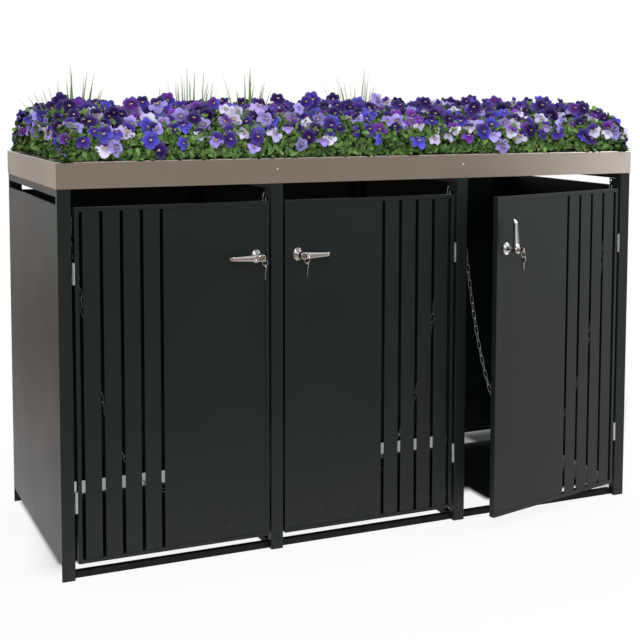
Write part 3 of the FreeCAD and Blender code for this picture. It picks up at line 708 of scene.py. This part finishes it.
def chainSurface(bay):
    # links along the catenary z = a cosh(x / a), every second one turned on its side
    s = chainSettings
    left, right = s[bay]
    pitch = s["innerLength"] - s["clearance"]
    number = np.arange(s["links"])
    halfSpan = (right - left - s["bracket"]) / 2
    a = catenaryParameter(halfSpan, (s["innerLength"] + (s["links"] - 1) * pitch) / 2)
    arc = (number - (s["links"] - 1) / 2) * pitch
    across = a * np.arcsinh(arc / a)
    height = s["seat"] - a * (math.cosh(halfSpan / a) - np.cosh(across / a))
    slope = np.arctan(arc / a)
    along = xyz(np.cos(slope), 0, np.sin(slope))
    upright = xyz(-np.sin(slope), 0, np.cos(slope))
    side = np.where((number % 2 == 1)[:, None], (0.0, 1.0, 0.0), upright)
    turns = np.stack([along, side, np.cross(along, side)], -1)
    places = xyz((left + right) / 2 + across, s["y"], height)
    return copies(*linkSurface(), turns, places, np.ones(s["links"]))


for bay in bays:
    meshPiece("chain" + bay.capitalize(), *chainSurface(bay), zinc, "frame", "zinc_steel", "chain_" + bay)
print("chains")

plantSettings = {
    "reach": 1.000, "frontY": -0.030, "rearY": 0.770, "rim": 1.251, "soilTop": 1.237, "halfWidth": 1.020,
    "lift": 0.004, "shoulder": 0.078, "height": 0.146, "endHeight": 0.128, "endRun": 0.045, "endLean": 1.2,
    "insets": (0.002, 0.010, 0.085, 0.3), "browDrop": 0.010, "wave": 0.008, "waves": 9, "seed": 24,
    "ends": (0.012, 0.988), "tips": (0.004, 0.996),    # shares of the length
}
growthSettings = {"grid": (140, 64), "width": 0.965, "rough": 0.0030, "sink": 0.010, "inset": 0.0378}
random = np.random.default_rng(plantSettings["seed"])


def moundSection(share):
    # eight points from the front rim over the crown to the rear rim, for each share of the length
    s = plantSettings
    x = (2 * share - 1) * s["reach"]
    fullness = np.clip(np.minimum(share, 1 - share) * 2 * s["reach"] / s["endRun"], 0, 1)
    crown = s["endHeight"] + (s["height"] - s["endHeight"]) * np.sin(fullness * math.pi / 2)
    wave = s["wave"] * np.sin(share * math.pi * s["waves"]) * fullness
    top = s["rim"] + crown + wave
    shoulder = s["rim"] + s["shoulder"] * crown / s["height"]
    sides = []
    for edge, way in ((s["frontY"], 1), (s["rearY"], -1)):
        heights = (s["rim"] + s["lift"], shoulder, top - s["browDrop"], top + way * wave / 2)
        sides.append([xyz(x, edge + way * inset, height) for inset, height in zip(s["insets"], heights)])
    return np.stack(sides[0] + sides[1][::-1], 1)


def moundPoint(share, across):
    # a point on the mound and its outward normal; across runs from 0 at the front rim to 1 at the rear rim
    s = plantSettings
    section = moundSection(share)
    step = np.linalg.norm(np.diff(moundSection(np.array([0.5]))[0], axis=0), axis=1)
    stops = np.concatenate([[0], np.cumsum(step)]) / step.sum()
    index = np.clip(np.searchsorted(stops, across, side="right") - 1, 0, 6)
    part = (across - stops[index]) / (stops[index + 1] - stops[index])
    each = np.arange(len(share))
    run = section[each, index + 1] - section[each, index]
    point = section[each, index] + run * part[:, None]
    fromEnd = np.minimum(share, 1 - share) * 2 * s["reach"]
    lean = np.clip(1 - fromEnd / s["endRun"], 0, 1) * np.sign(share - 0.5)
    return point, unit(unit(xyz(0, -run[:, 2], run[:, 1])) + xyz(lean * s["endLean"], 0, 0))


def frames(normal, upHint, roll):
    # turning matrices whose third column is the normal and whose second leans to the hint
    second = unit(upHint - (upHint * normal).sum(1, keepdims=True) * normal)
    first = np.cross(second, normal)
    c, s = np.cos(roll)[:, None], np.sin(roll)[:, None]
    return np.stack([first * c + second * s, second * c - first * s, normal], -1)


def underSurface():
    # closed body of the lower growth, which carries the painted shade between leaves: each section runs over
    # the mound and back through the compost
    s, g = plantSettings, growthSettings
    stations, around = g["grid"]
    along = np.linspace(*s["ends"], stations)
    share, across = np.meshgrid(along, np.linspace(0.0, 1.0, around), indexing="ij")
    top = moundPoint(share.ravel(), across.ravel())[0].reshape(*share.shape, 3)
    middle = (s["frontY"] + s["rearY"]) / 2
    top[..., 1] = middle + (top[..., 1] - middle) * g["width"]
    top[..., 2] += random.normal(0, g["rough"], share.shape) - g["sink"]
    top[..., 2] = np.maximum(top[..., 2], s["rim"] + 0.001)
    inner = s["halfWidth"] - g["inset"]
    x = np.clip(top[:, 0, 0], -inner, inner)
    front, rear = s["frontY"] + g["inset"], s["rearY"] - g["inset"]
    low, high = s["soilTop"] + 0.001, s["rim"] + s["lift"]
    corners = [xyz(x, y, z)[:, None] for y, z in ((rear, high), (rear, low), (front, low), (front, high))]
    return capped(np.concatenate([top] + corners, 1))


# the lower growth as one body, its dark greens a painted shade between the leaves
meshPiece("shadedUnderGrowth", *underSurface(), shadedUnderGreen(), "frame", "leaves_and_flowers", "planting", weld=True)

headSettings = {
    # fields: first and last share across the mound, rows, columns, share of places that carry a head
    "fields": [(0.026, 0.050, 1, 38, 0.36), (0.050, 0.078, 1, 40, 0.74), (0.078, 0.185, 3, 43, 0.97),
               (0.185, 0.80, 12, 40, 0.95), (0.80, 0.92, 3, 40, 0.97), (0.92, 0.970, 2, 38, 0.70)],
    "jitter": (0.30, 0.34), "size": (0.0195, 0.0320), "heights": (-0.014, 0.006), "standOff": 0.008,
    "tall": 78, "tallAcross": (0.20, 0.60), "tallY": (0.02, 0.50), "tallZ": (1.394, 0.050),
    "tallRise": (1.2, 2.6),
    # rows that face out at both ends: shares across, heads, drop of each row, least height over the rim
    "endAcross": (0.08, 0.92), "endCount": 15, "endDrops": (0.012, 0.052), "endRise": 0.022,
    "endJitter": (0.02, 0.008), "endFacing": (0.62, 1.3, -1.0, 0.25),
    # the way that heads turn near the front and the rear; line in y, run to full turn, strength
    "front": (-0.12, -1.0, 0.28), "frontLine": (0.65, 0.30, 0.85),
    "rear": (0, 0.8, 0), "rearLine": (0.62, 0.13),
    "turnedAtEnds": 0.25, "upHint": (0.0, 0.3, 1.0), "tilt": 0.32, "roll": 0.35,
    # linear colour and weight: deep purple, violet, violet blue, plum, lavender, pale lilac
    "colours": [(linear(40, 22, 82), 0.29), (linear(62, 42, 132), 0.25), (linear(76, 70, 186), 0.17),
                (linear(104, 48, 150), 0.08), (linear(156, 142, 216), 0.20), (linear(216, 208, 242), 0.09)],
    "twoColoured": 0.28, "upperColours": [0, 1, 3], "lowerColours": [2, 4, 5],
    "crest": 1.380, "darkOnCrest": 0.45,
    "petalTone": (0.70, 1.36), "headTone": (0.66, 1.20), "channelTone": (0.95, 1.05),
    "brightest": (0.70, 0.68, 0.88), "petalGrid": 4, "ripple": 0.13, "cup": 0.22,
}
# petal: angle round the head, distance of its middle, half length, half width, height; upper ones first
petalSettings = [
    (122, 0.52, 0.48, 0.46, -0.07),
    (58, 0.52, 0.48, 0.46, -0.05),
    (190, 0.50, 0.47, 0.40, 0.00),
    (-10, 0.50, 0.47, 0.40, 0.02),
    (-90, 0.50, 0.50, 0.54, 0.05),
]


def headSurface():
    # five petals, each a square grid drawn into an ellipse, x = s sqrt(1 - t^2 / 2), and rippled at its edge
    h = headSettings
    side = np.linspace(-1, 1, h["petalGrid"])
    s, t = np.meshgrid(side, side, indexing="ij")
    along, wide = s * np.sqrt(1 - t * t / 2), t * np.sqrt(1 - s * s / 2)
    parts, uvs = [], []
    for angle, distance, length, width, height in petalSettings:
        x, y = turned(distance + along * length, wide * width, angle)
        ripple = np.sin(3 * np.arctan2(wide, along) + math.radians(angle)) * np.hypot(along, wide) ** 2
        z = height + h["ripple"] * ripple - h["cup"] * np.hypot(x, y) ** 2
        parts.append((xyz(x, y, z).reshape(-1, 3), gridFaces(*s.shape)))
        uvs.append(np.stack([np.hypot(x, y), np.arctan2(y, x) / (2 * math.pi) + 0.5], -1).reshape(-1, 2))
    return *joined(parts), np.concatenate(uvs)


def headPlaces():
    # uneven fields over the mound, taller heads in front of the crown and rows that face out at both ends
    s, (low, high) = headSettings, plantSettings["ends"]
    shares, acrosses = [], []
    for first, last, rows, columns, kept in s["fields"]:
        row, column = np.divmod(np.arange(rows * columns), columns)
        jitter = [random.uniform(-most, most, len(row)) for most in s["jitter"]]
        share = (column + 0.5 * (row % 2) + 0.25 + jitter[0]) / columns
        across = first + (last - first) * (row + 0.5 + jitter[1]) / rows
        keep = (share > low) & (share < high) & (random.uniform(0, 1, len(row)) < kept)
        shares.append(share[keep])
        acrosses.append(across[keep])
    point, normal = moundPoint(np.concatenate(shares), np.concatenate(acrosses))
    point[:, 2] += random.uniform(*s["heights"], len(point))
    count = s["tall"]
    tallShare = (np.arange(count) + random.uniform(0.1, 0.9, count)) / count * 0.97 + 0.015
    tall, tallNormal = moundPoint(tallShare, random.uniform(*s["tallAcross"], count))
    tall[:, 1] = random.uniform(*s["tallY"], count)
    tall[:, 2] = s["tallZ"][0] + s["tallZ"][1] * random.beta(*s["tallRise"], count)
    count = 4 * s["endCount"]
    aside, drop = [random.uniform(-most, most, count) for most in s["endJitter"]]
    across = np.tile(np.linspace(*s["endAcross"], s["endCount"]), 4) + aside
    side = np.repeat(plantSettings["tips"], count // 2)
    end = moundPoint(side, across)[0]
    end[:, 2] -= np.tile(np.repeat(s["endDrops"], s["endCount"]), 2) + drop
    end[:, 2] = np.maximum(end[:, 2], plantSettings["rim"] + s["endRise"])
    out, slope, start, up = s["endFacing"]
    endNormal = unit(xyz(out * np.sign(side - 0.5), slope * across + start, up))
    return np.concatenate([point, tall, end]), np.concatenate([normal, tallNormal, endNormal])


def pansies():
    s = headSettings
    place, normal = headPlaces()
    count = len(place)
    size = random.uniform(*s["size"], count)
    line, run, strength = s["frontLine"]
    towardsFront = np.clip((line - place[:, 1:2]) / run, 0, 1)
    line, run = s["rearLine"]
    towardsRear = np.clip((place[:, 1:2] - line) / run, 0, 1)
    inside = np.where(np.abs(normal[:, :1]) > 0.5, s["turnedAtEnds"], 1.0)
    facing = normal * (1 - strength * towardsFront) + np.array(s["front"]) * towardsFront * inside
    facing = facing + np.array(s["rear"]) * towardsRear * inside
    facing = unit(facing + random.normal(0, s["tilt"], (count, 3)))
    turns = frames(facing, np.array([s["upHint"]]), random.normal(0, s["roll"], count))
    place = place + facing * s["standOff"]
    palette, weights = [np.array(each) for each in zip(*s["colours"])]
    lower = random.choice(len(palette), count, p=weights / weights.sum())
    onCrest = (place[:, 2] > s["crest"]) & (random.uniform(0, 1, count) < s["darkOnCrest"])
    lower = np.where(onCrest, 0, lower)
    two = random.uniform(0, 1, count) < s["twoColoured"]
    upper = np.where(two, random.choice(s["upperColours"], count), lower)
    lower = np.where(two, random.choice(s["lowerColours"], count), lower)
    tint = palette[np.stack([upper, upper, lower, lower, lower], 1)]
    tint = tint * random.uniform(*s["petalTone"], (count, len(petalSettings), 1))
    tint = tint * random.uniform(*s["headTone"], (count, 1, 1))
    tint = tint * random.uniform(*s["channelTone"], (count, 1, 3))
    tint = np.repeat(np.clip(tint, 0, s["brightest"]).reshape(-1, 3), s["petalGrid"] ** 2, 0)
    points, faces, uv = headSurface()
    meshPiece("pansyHeads", *copies(points, faces, turns, place, size), petals(), "frame",
              "leaves_and_flowers", uv=np.tile(uv, (count, 1)), tint=tint)
    return place, facing


headPlace, headFacing = pansies()
print("pansies", len(headPlace))

stemSettings = {"length": 0.030, "drop": 0.045, "inset": (0.030, 0.045), "bow": 0.012, "radius": 0.0011,
                "colour": linear(84, 116, 56)}


def stems():
    # three-sided stalks that bend from the growth to the back of each head: a + (b - a) t + bow t (1 - t)
    s, p = stemSettings, plantSettings
    count = len(headPlace)
    top = headPlace - headFacing * 0.002
    foot = headPlace - headFacing * s["length"] - (0, 0, s["drop"])
    low = (s["inset"][0] - p["reach"], p["frontY"] + s["inset"][1], p["rim"] + p["lift"])
    high = (p["reach"] - s["inset"][0], p["rearY"] - s["inset"][1], 9)
    foot = np.clip(foot, low, high)[:, None]
    share = np.linspace(0, 1, 4)[:, None]
    line = foot + (top[:, None] - foot) * share + np.array([0, 0, s["bow"]]) * share * (1 - share)
    angle = roundAngles(3)
    points = (line[:, :, None] + xyz(np.cos(angle), np.sin(angle), 0) * s["radius"]).reshape(-1, 3)
    faces = repeated(gridFaces(4, 3, wrap=True), count, 12)
    meshPiece("pansyStems", points, faces, leafGreen("stalkGreen", 0.6, 0.1), "frame", "leaves_and_flowers",
              uv=np.zeros((len(points), 2)), tint=s["colour"])


stems()

leafSettings = {
    "count": 12200, "frontShare": 0.32, "rearShare": 0.11, "endShare": 0.24,
    "shares": (0.006, 0.994), "frontBand": 0.14, "rearBand": (0.88, 1.0), "sink": (0.000, 0.012),
    "hang": (0, 0.125), "length": (0.015, 0.028), "width": 0.34, "fold": 0.35, "droop": 0.25, "tilt": 0.50,
    "outward": 0.5, "forward": (-1.0, 0.6), "up": (0.2, 0.9), "rimPower": 1.4, "upLean": (0, 0, 0.6),
    "colours": (linear(24, 52, 14), linear(120, 158, 84)), "paler": (1.2, 2.3), "channelTone": (0.9, 1.1),
}


def leafSurface():
    # an oval with a blunt tip, folded along its midrib: half width w sin(pi t)^0.7 (1 - t / 4)
    s = leafSettings
    t = np.linspace(0, 1, 5)[:, None]
    side = np.array([-1.0, 0.0, 1.0])
    x = side * s["width"] * np.sin(math.pi * np.clip(t, 0.02, 0.98)) ** 0.7 * (1 - 0.25 * t)
    points = xyz(x, t, s["fold"] * np.abs(x) - s["droop"] * t * t)
    uv = np.stack(np.broadcast_arrays(t, side), -1)
    return points.reshape(-1, 3), gridFaces(*x.shape), uv.reshape(-1, 2)


def leaves():
    # spread over the mound, denser along the rims and down both ends
    s, rim = leafSettings, plantSettings["rim"]
    count = s["count"]
    share = random.uniform(*s["shares"], count)
    across = random.uniform(0, 1, count)
    kind = random.uniform(0, 1, count)
    front = s["frontBand"] * random.uniform(0, 1, count) ** s["rimPower"]
    across = np.where(kind < s["frontShare"], front, across)
    across = np.where(kind > 1 - s["rearShare"], random.uniform(*s["rearBand"], count), across)
    atEnd = random.uniform(0, 1, count) < s["endShare"]
    share = np.where(atEnd, np.where(random.uniform(0, 1, count) < 0.5, *plantSettings["tips"]), share)
    place, normal = moundPoint(share, across)
    place = place - normal * random.uniform(*s["sink"], count)[:, None]
    place[:, 2] -= np.where(atEnd, random.uniform(*s["hang"], count), 0)
    place[:, 2] = np.maximum(place[:, 2], rim + 0.002)
    forward, up = [random.uniform(*s[name], count) for name in ("forward", "up")]
    outward = xyz(s["outward"] * np.sign(share - 0.5), forward, up)
    normal = np.where(atEnd[:, None], unit(outward), normal)
    facing = unit(normal + random.normal(0, s["tilt"], (count, 3)))
    turns = frames(facing, random.normal(0, 1, (count, 3)) + s["upLean"], 0 * share)
    size = random.uniform(*s["length"], count)
    dark, bright = np.array(s["colours"])
    tint = dark + (bright - dark) * random.beta(*s["paler"], count)[:, None]
    tint = tint * random.uniform(*s["channelTone"], (count, 3))
    points, faces, uv = leafSurface()
    spread, numbers = copies(points, faces, turns, place, size)
    spread[:, 2] = np.maximum(spread[:, 2], rim - 0.0005)
    meshPiece("pansyLeaves", spread, numbers, leafGreen("leafGreen", 0.5, 0.45), "frame",
              "leaves_and_flowers", uv=np.tile(uv, (count, 1)), tint=np.repeat(tint, len(points), 0))


leaves()
print("leaves")

grassSettings = {
    # tuft: x, y, height over the compost, half width of its feet, blades
    "tufts": [(-0.878, 0.370, 0.291, 0.085, 27), (-0.600, 0.340, 0.225, 0.030, 4),
              (-0.482, 0.370, 0.291, 0.085, 27), (-0.289, 0.370, 0.290, 0.075, 23),
              (0.132, 0.370, 0.292, 0.085, 27)],
    "foot": 1.245, "width": 0.0072, "tipWidth": 0.0006, "lean": 0.085, "steps": 9, "deep": 0.6,
    "outerDrop": 0.42, "rise": (0.82, 1.0), "turn": 0.4, "flatSide": (1.2, 0.3, 0), "tone": (-0.25, 0.15),
    "colours": (linear(62, 92, 36), linear(140, 160, 96)),
}


def grass():
    # a blade is a folded strip whose line leans out as the power 1.8 of its height and closes to a point
    s = grassSettings
    t = np.linspace(0, 1, s["steps"])
    dark, pale = np.array(s["colours"])
    strips, tints = [], []
    for x, y, height, spread, blades in s["tufts"]:
        aside = 2 * (np.arange(blades) + random.uniform(0, 1, blades)) / blades - 1
        deep = random.uniform(-s["deep"], s["deep"], blades)
        rise = height * (1 - s["outerDrop"] * np.abs(aside) ** 1.6) * random.uniform(*s["rise"], blades)
        rise[blades // 2] = height
        foot = xyz(x + spread * aside, y + spread * deep, s["foot"])
        turn = np.arctan2(deep, aside) + random.normal(0, s["turn"], blades)
        away = xyz(np.cos(turn), np.sin(turn), 0)[:, None]
        across = xyz(-np.sin(turn), np.cos(turn), 0)
        across = unit(across + np.array(s["flatSide"]) * np.sign(across[:, :1] + 1e-6))[:, None]
        bend = (s["lean"] * random.uniform(0.1, 1.0, blades) * (0.4 + np.abs(aside)))[:, None] * t ** 1.8
        line = foot[:, None] + away * bend[..., None] + xyz(0, 0, rise[:, None] * t)
        half = (s["width"] * (1 - t ** 2.2) + s["tipWidth"])[:, None] / 2
        fold = away * half / 2
        strips.append(np.stack([line - across * half + fold, line, line + across * half + fold], 2))
        tone = np.clip(t[:, None, None] ** 1.5 + random.uniform(*s["tone"], (blades, 1, 1, 1)), 0, 1)
        tints.append(np.repeat(dark + (pale - dark) * tone, 3, 2))
    points, tint = [np.concatenate(each).reshape(-1, 3) for each in (strips, tints)]
    uv = np.stack(np.meshgrid(t, [-1, 0, 1], indexing="ij"), -1).reshape(-1, 2)
    count = len(points) // len(uv)
    faces = repeated(gridFaces(s["steps"], 3), count, len(uv))
    meshPiece("grassBlades", points, faces, leafGreen("grassGreen", 0.55, 0.15), "frame", "grass",
              "grass_tufts", uv=np.tile(uv, (count, 1)), tint=tint)


grass()
print("grass")

# the pairs are ramps in metres: a mask is 0 at the first value and 1 at the second
floorSettings = {
    "size": 30.0, "middle": (0.0, 0.37, 0.0), "halfStore": (1.0, 0.40, 0.0),
    "plain": (0.88, 0.88, 0.88, 1), "dark": (0.02, 0.02, 0.02, 1),
    # the floor under the store is painted dark, as a painted deep shade
    "leftEdge": (-1.01, -0.99), "rightEdge": (1.01, 0.99),
    "frontEdge": (0.19, 0.28), "rearEdge": (0.775, 0.755),
    # which comes further forward, but for a gap in the right bay, behind its open door
    "nearEdge": (0.100, 0.130), "nearRight": (0.985, 0.965),
    "leftOfGap": (0.44, 0.41), "rightOfGap": (0.52, 0.55),
    # before it a strip of floor stays light, and reaches deeper in the gap
    "lightSides": (0.99, 0.97), "lightStrip": (0.13, 0.10), "lightGap": (0.31, 0.28),
    # a soft painted shade lies behind the store, left of the line y = 1.2 x - 1.24 and right of x = 0.17 y -
    # 1.13
    "rightLine": (-1.2, 1, 0), "rightFade": (-1.24, -1.13),
    "leftLine": (1, -0.17, 0), "leftFade": (-1.1343, -0.8543),
    "frontFade": (0.02, 0.12), "farShade": 0.70, "farFade": (1.30, 0.45),
    # and a darker painted shade close to its right side
    "footShade": 0.95, "footFade": (0.36, 0.05), "footFrom": (0.79, 0.90),
    "keptShadow": (0.1, 1.3, 0.10, 0.0),    # share of the true shadow near the store and far from it
    # shiny surfaces see the floor grey in front, and at the left but for a strip
    "greySide": (-0.225, -0.974, 0.0), "greyCone": (0.612, 0.650), "greyFront": (0.4, 1.8),
    "greyLeft": (-1.15, -1.75), "greyFar": (9.0, 3.0), "stripFrom": (1.02, 0.5),
    "stripLow": (-0.28, -0.23), "stripHigh": (-0.09, -0.13), "stripFar": (1.0, 3.0),
}
# the pairs here are ramps in the parts of a direction
studioSettings = {
    "worldLight": (0.60, 0.60, 0.60, 1),
    "greyTone": (0.34, 0.292, 0.255, 1),
    "warmTone": (1.0, 0.95, 0.92, 1),     # white as shiny surfaces see it in the floor and the left rear wall
    "greyWall": (-0.956, -0.292, 0.0),    # the side of the room whose walls are grey to them
    "greyCone": (-0.378, -0.330), "lowWall": (0.95, 0.55), "rearWall": (0.45, 0.95, 1.0, 0.15),
    "stripLow": (-0.26, -0.22), "stripHigh": (-0.09, -0.13), "warmX": (-0.3, -0.6), "warmY": (-0.1, 0.15),
}


def floorMaterial():
    # white to the camera and to shiny surfaces, with a share of the true shadow; painted shade under the
    # store, behind it and at its right side
    s = floorSettings
    made = Finish("studioFloor")
    made.tree.nodes.remove(made.surface)
    place = made.place()
    x, y, z = made.split(place)
    besideGap = made.most(made.zone(s, leftOfGap=x), made.zone(s, rightOfGap=x))
    near = made.product(besideGap, made.zone(s, nearEdge=y, nearRight=x))
    front = made.most(made.softZone(s, frontEdge=y), near)
    # under: where the floor is painted dark as shade under the store
    under = made.product(made.zone(s, leftEdge=x, rightEdge=x, rearEdge=y), front)
    fromMiddle = made.vector("SUBTRACT", place, s["middle"])
    side = made.vector("ABSOLUTE", fromMiddle)
    beyond = made.vector("LENGTH", made.vector("MAXIMUM", made.vector("SUBTRACT", side, s["halfStore"])))
    gap = made.product(made.less(1.0, besideGap), made.zone(s, lightGap=y))
    strip = made.most(made.zone(s, lightStrip=y), gap)
    light = made.product(made.zone(s, lightSides=made.split(side)["X"]), strip)
    right, left = [made.vector("DOT_PRODUCT", place, s[line]) for line in ("rightLine", "leftLine")]
    around = made.product(made.less(1.0, light), made.softZone(s, rightFade=right), made.zone(s, frontFade=y))
    behind = made.product(around, made.softZone(s, leftFade=left, farFade=beyond), s["farShade"])
    foot = made.product(around, made.softZone(s, footFrom=x, footFade=beyond), s["footShade"])
    # bright: what the painted shade behind the store and at its right side leaves of the floor's white
    bright = made.less(1.0, made.most(behind, foot))
    facing = made.vector("DOT_PRODUCT", made.vector("NORMALIZE", fromMiddle), s["greySide"])
    start, least = s["stripFrom"]
    ratio = made.math("DIVIDE", made.plus(x, start), made.most(y, least))
    strip = made.zone(s, stripLow=ratio, stripHigh=ratio, stripFar=y)
    atLeft = made.product(made.softZone(s, greyLeft=x), made.most(strip, made.zone(s, greyFar=y)))
    path = made.add("LightPath").outputs
    seen = made.most(path["Is Camera Ray"], path["Is Glossy Ray"], path["Is Transmission Ray"])
    share = made.product(seen, made.less(1.0, under), made.less(1.0, made.softZone(s, keptShadow=beyond)))
    inFront = made.softZone(s, greyCone=facing, greyFront=beyond)
    grey = made.product(made.most(inFront, atLeft), path["Is Glossy Ray"])
    pale = made.mix(path["Is Glossy Ray"], white, studioSettings["warmTone"])
    # the floor's white for the camera and shiny surfaces, darkened by the painted shade
    glow = made.shaded(made.mix(grey, pale, studioSettings["greyTone"]), bright)
    # matt colour: painted dark under the store, and darkened by the painted shade around it
    matt = made.add("BsdfDiffuse", Color=made.mix(under, made.shaded(s["plain"], bright), s["dark"]))
    glowing = made.add("Emission", Color=glow, Strength=1.0)
    mixer = made.add("MixShader")
    for socket, value in enumerate((share, matt.outputs[0], glowing.outputs[0])):
        made.give(mixer, socket, value)
    made.give(made.tree.nodes["Material Output"], "Surface", mixer.outputs[0])
    return made.material


def floorPlane():
    half = floorSettings["size"] / 2
    mesh = bpy.data.meshes.new("floor")
    corners = [(-half, -half, 0), (half, -half, 0), (half, half, 0), (-half, half, 0)]
    mesh.from_pydata(corners, [], [(0, 1, 2, 3)])
    mesh.materials.append(floorMaterial())
    placed("floor", mesh)


def surroundings():
    # a white room for the eye; shiny surfaces see its left and front walls in a warm grey
    s = studioSettings
    world = bpy.data.worlds.new("studio")
    world.use_nodes = True
    bpy.context.scene.world = world
    made = Board(world.node_tree)
    direction = made.add("TexCoord").outputs["Generated"]
    across, deep, height = made.split(direction)
    strip = made.zone(s, stripLow=across, stripHigh=across)
    facing = made.vector("DOT_PRODUCT", direction, s["greyWall"])
    rearWall = made.most(strip, made.softZone(s, rearWall=deep))
    grey = made.product(made.softZone(s, greyCone=facing, lowWall=height), rearWall)
    leftRear = made.zone(s, warmX=across, warmY=deep)
    shiny = made.mix(grey, made.mix(leftRear, white, s["warmTone"]), s["greyTone"])
    path = made.add("LightPath").outputs
    colour = made.mix(path["Is Glossy Ray"], s["worldLight"], shiny)
    seen = made.most(path["Is Camera Ray"], path["Is Transmission Ray"])
    background = made.tree.nodes["Background"]
    made.give(background, "Color", made.mix(seen, colour, white))
    made.give(background, "Strength", 1.0)


# lamp: place, size, power, colour
lampSettings = {
    "keyLamp": ((-3.2, -4.6, 4.6), 3.4, 255, (1.0, 0.99, 0.97)),
    "fillLamp": ((4.8, -1.5, 3.6), 3.2, 120, (0.93, 0.98, 1.0)),
    "rearLamp": ((1.5, 4.5, 4.2), 3.0, 135, (1.0, 1.0, 1.0)),
}
lampTarget = Vector((0, 0.37, 0.7))


def lamps():
    for name, (place, size, power, colour) in lampSettings.items():
        light = bpy.data.lights.new(name, "AREA")
        light.shape = "SQUARE"
        light.size = size
        light.energy = power
        light.color = colour
        lamp = placed(name, light)
        lamp.location = place
        lamp.rotation_euler = (lampTarget - lamp.location).to_track_quat("-Z", "Y").to_euler()


floorPlane()
surroundings()
lamps()
print("floor and light")
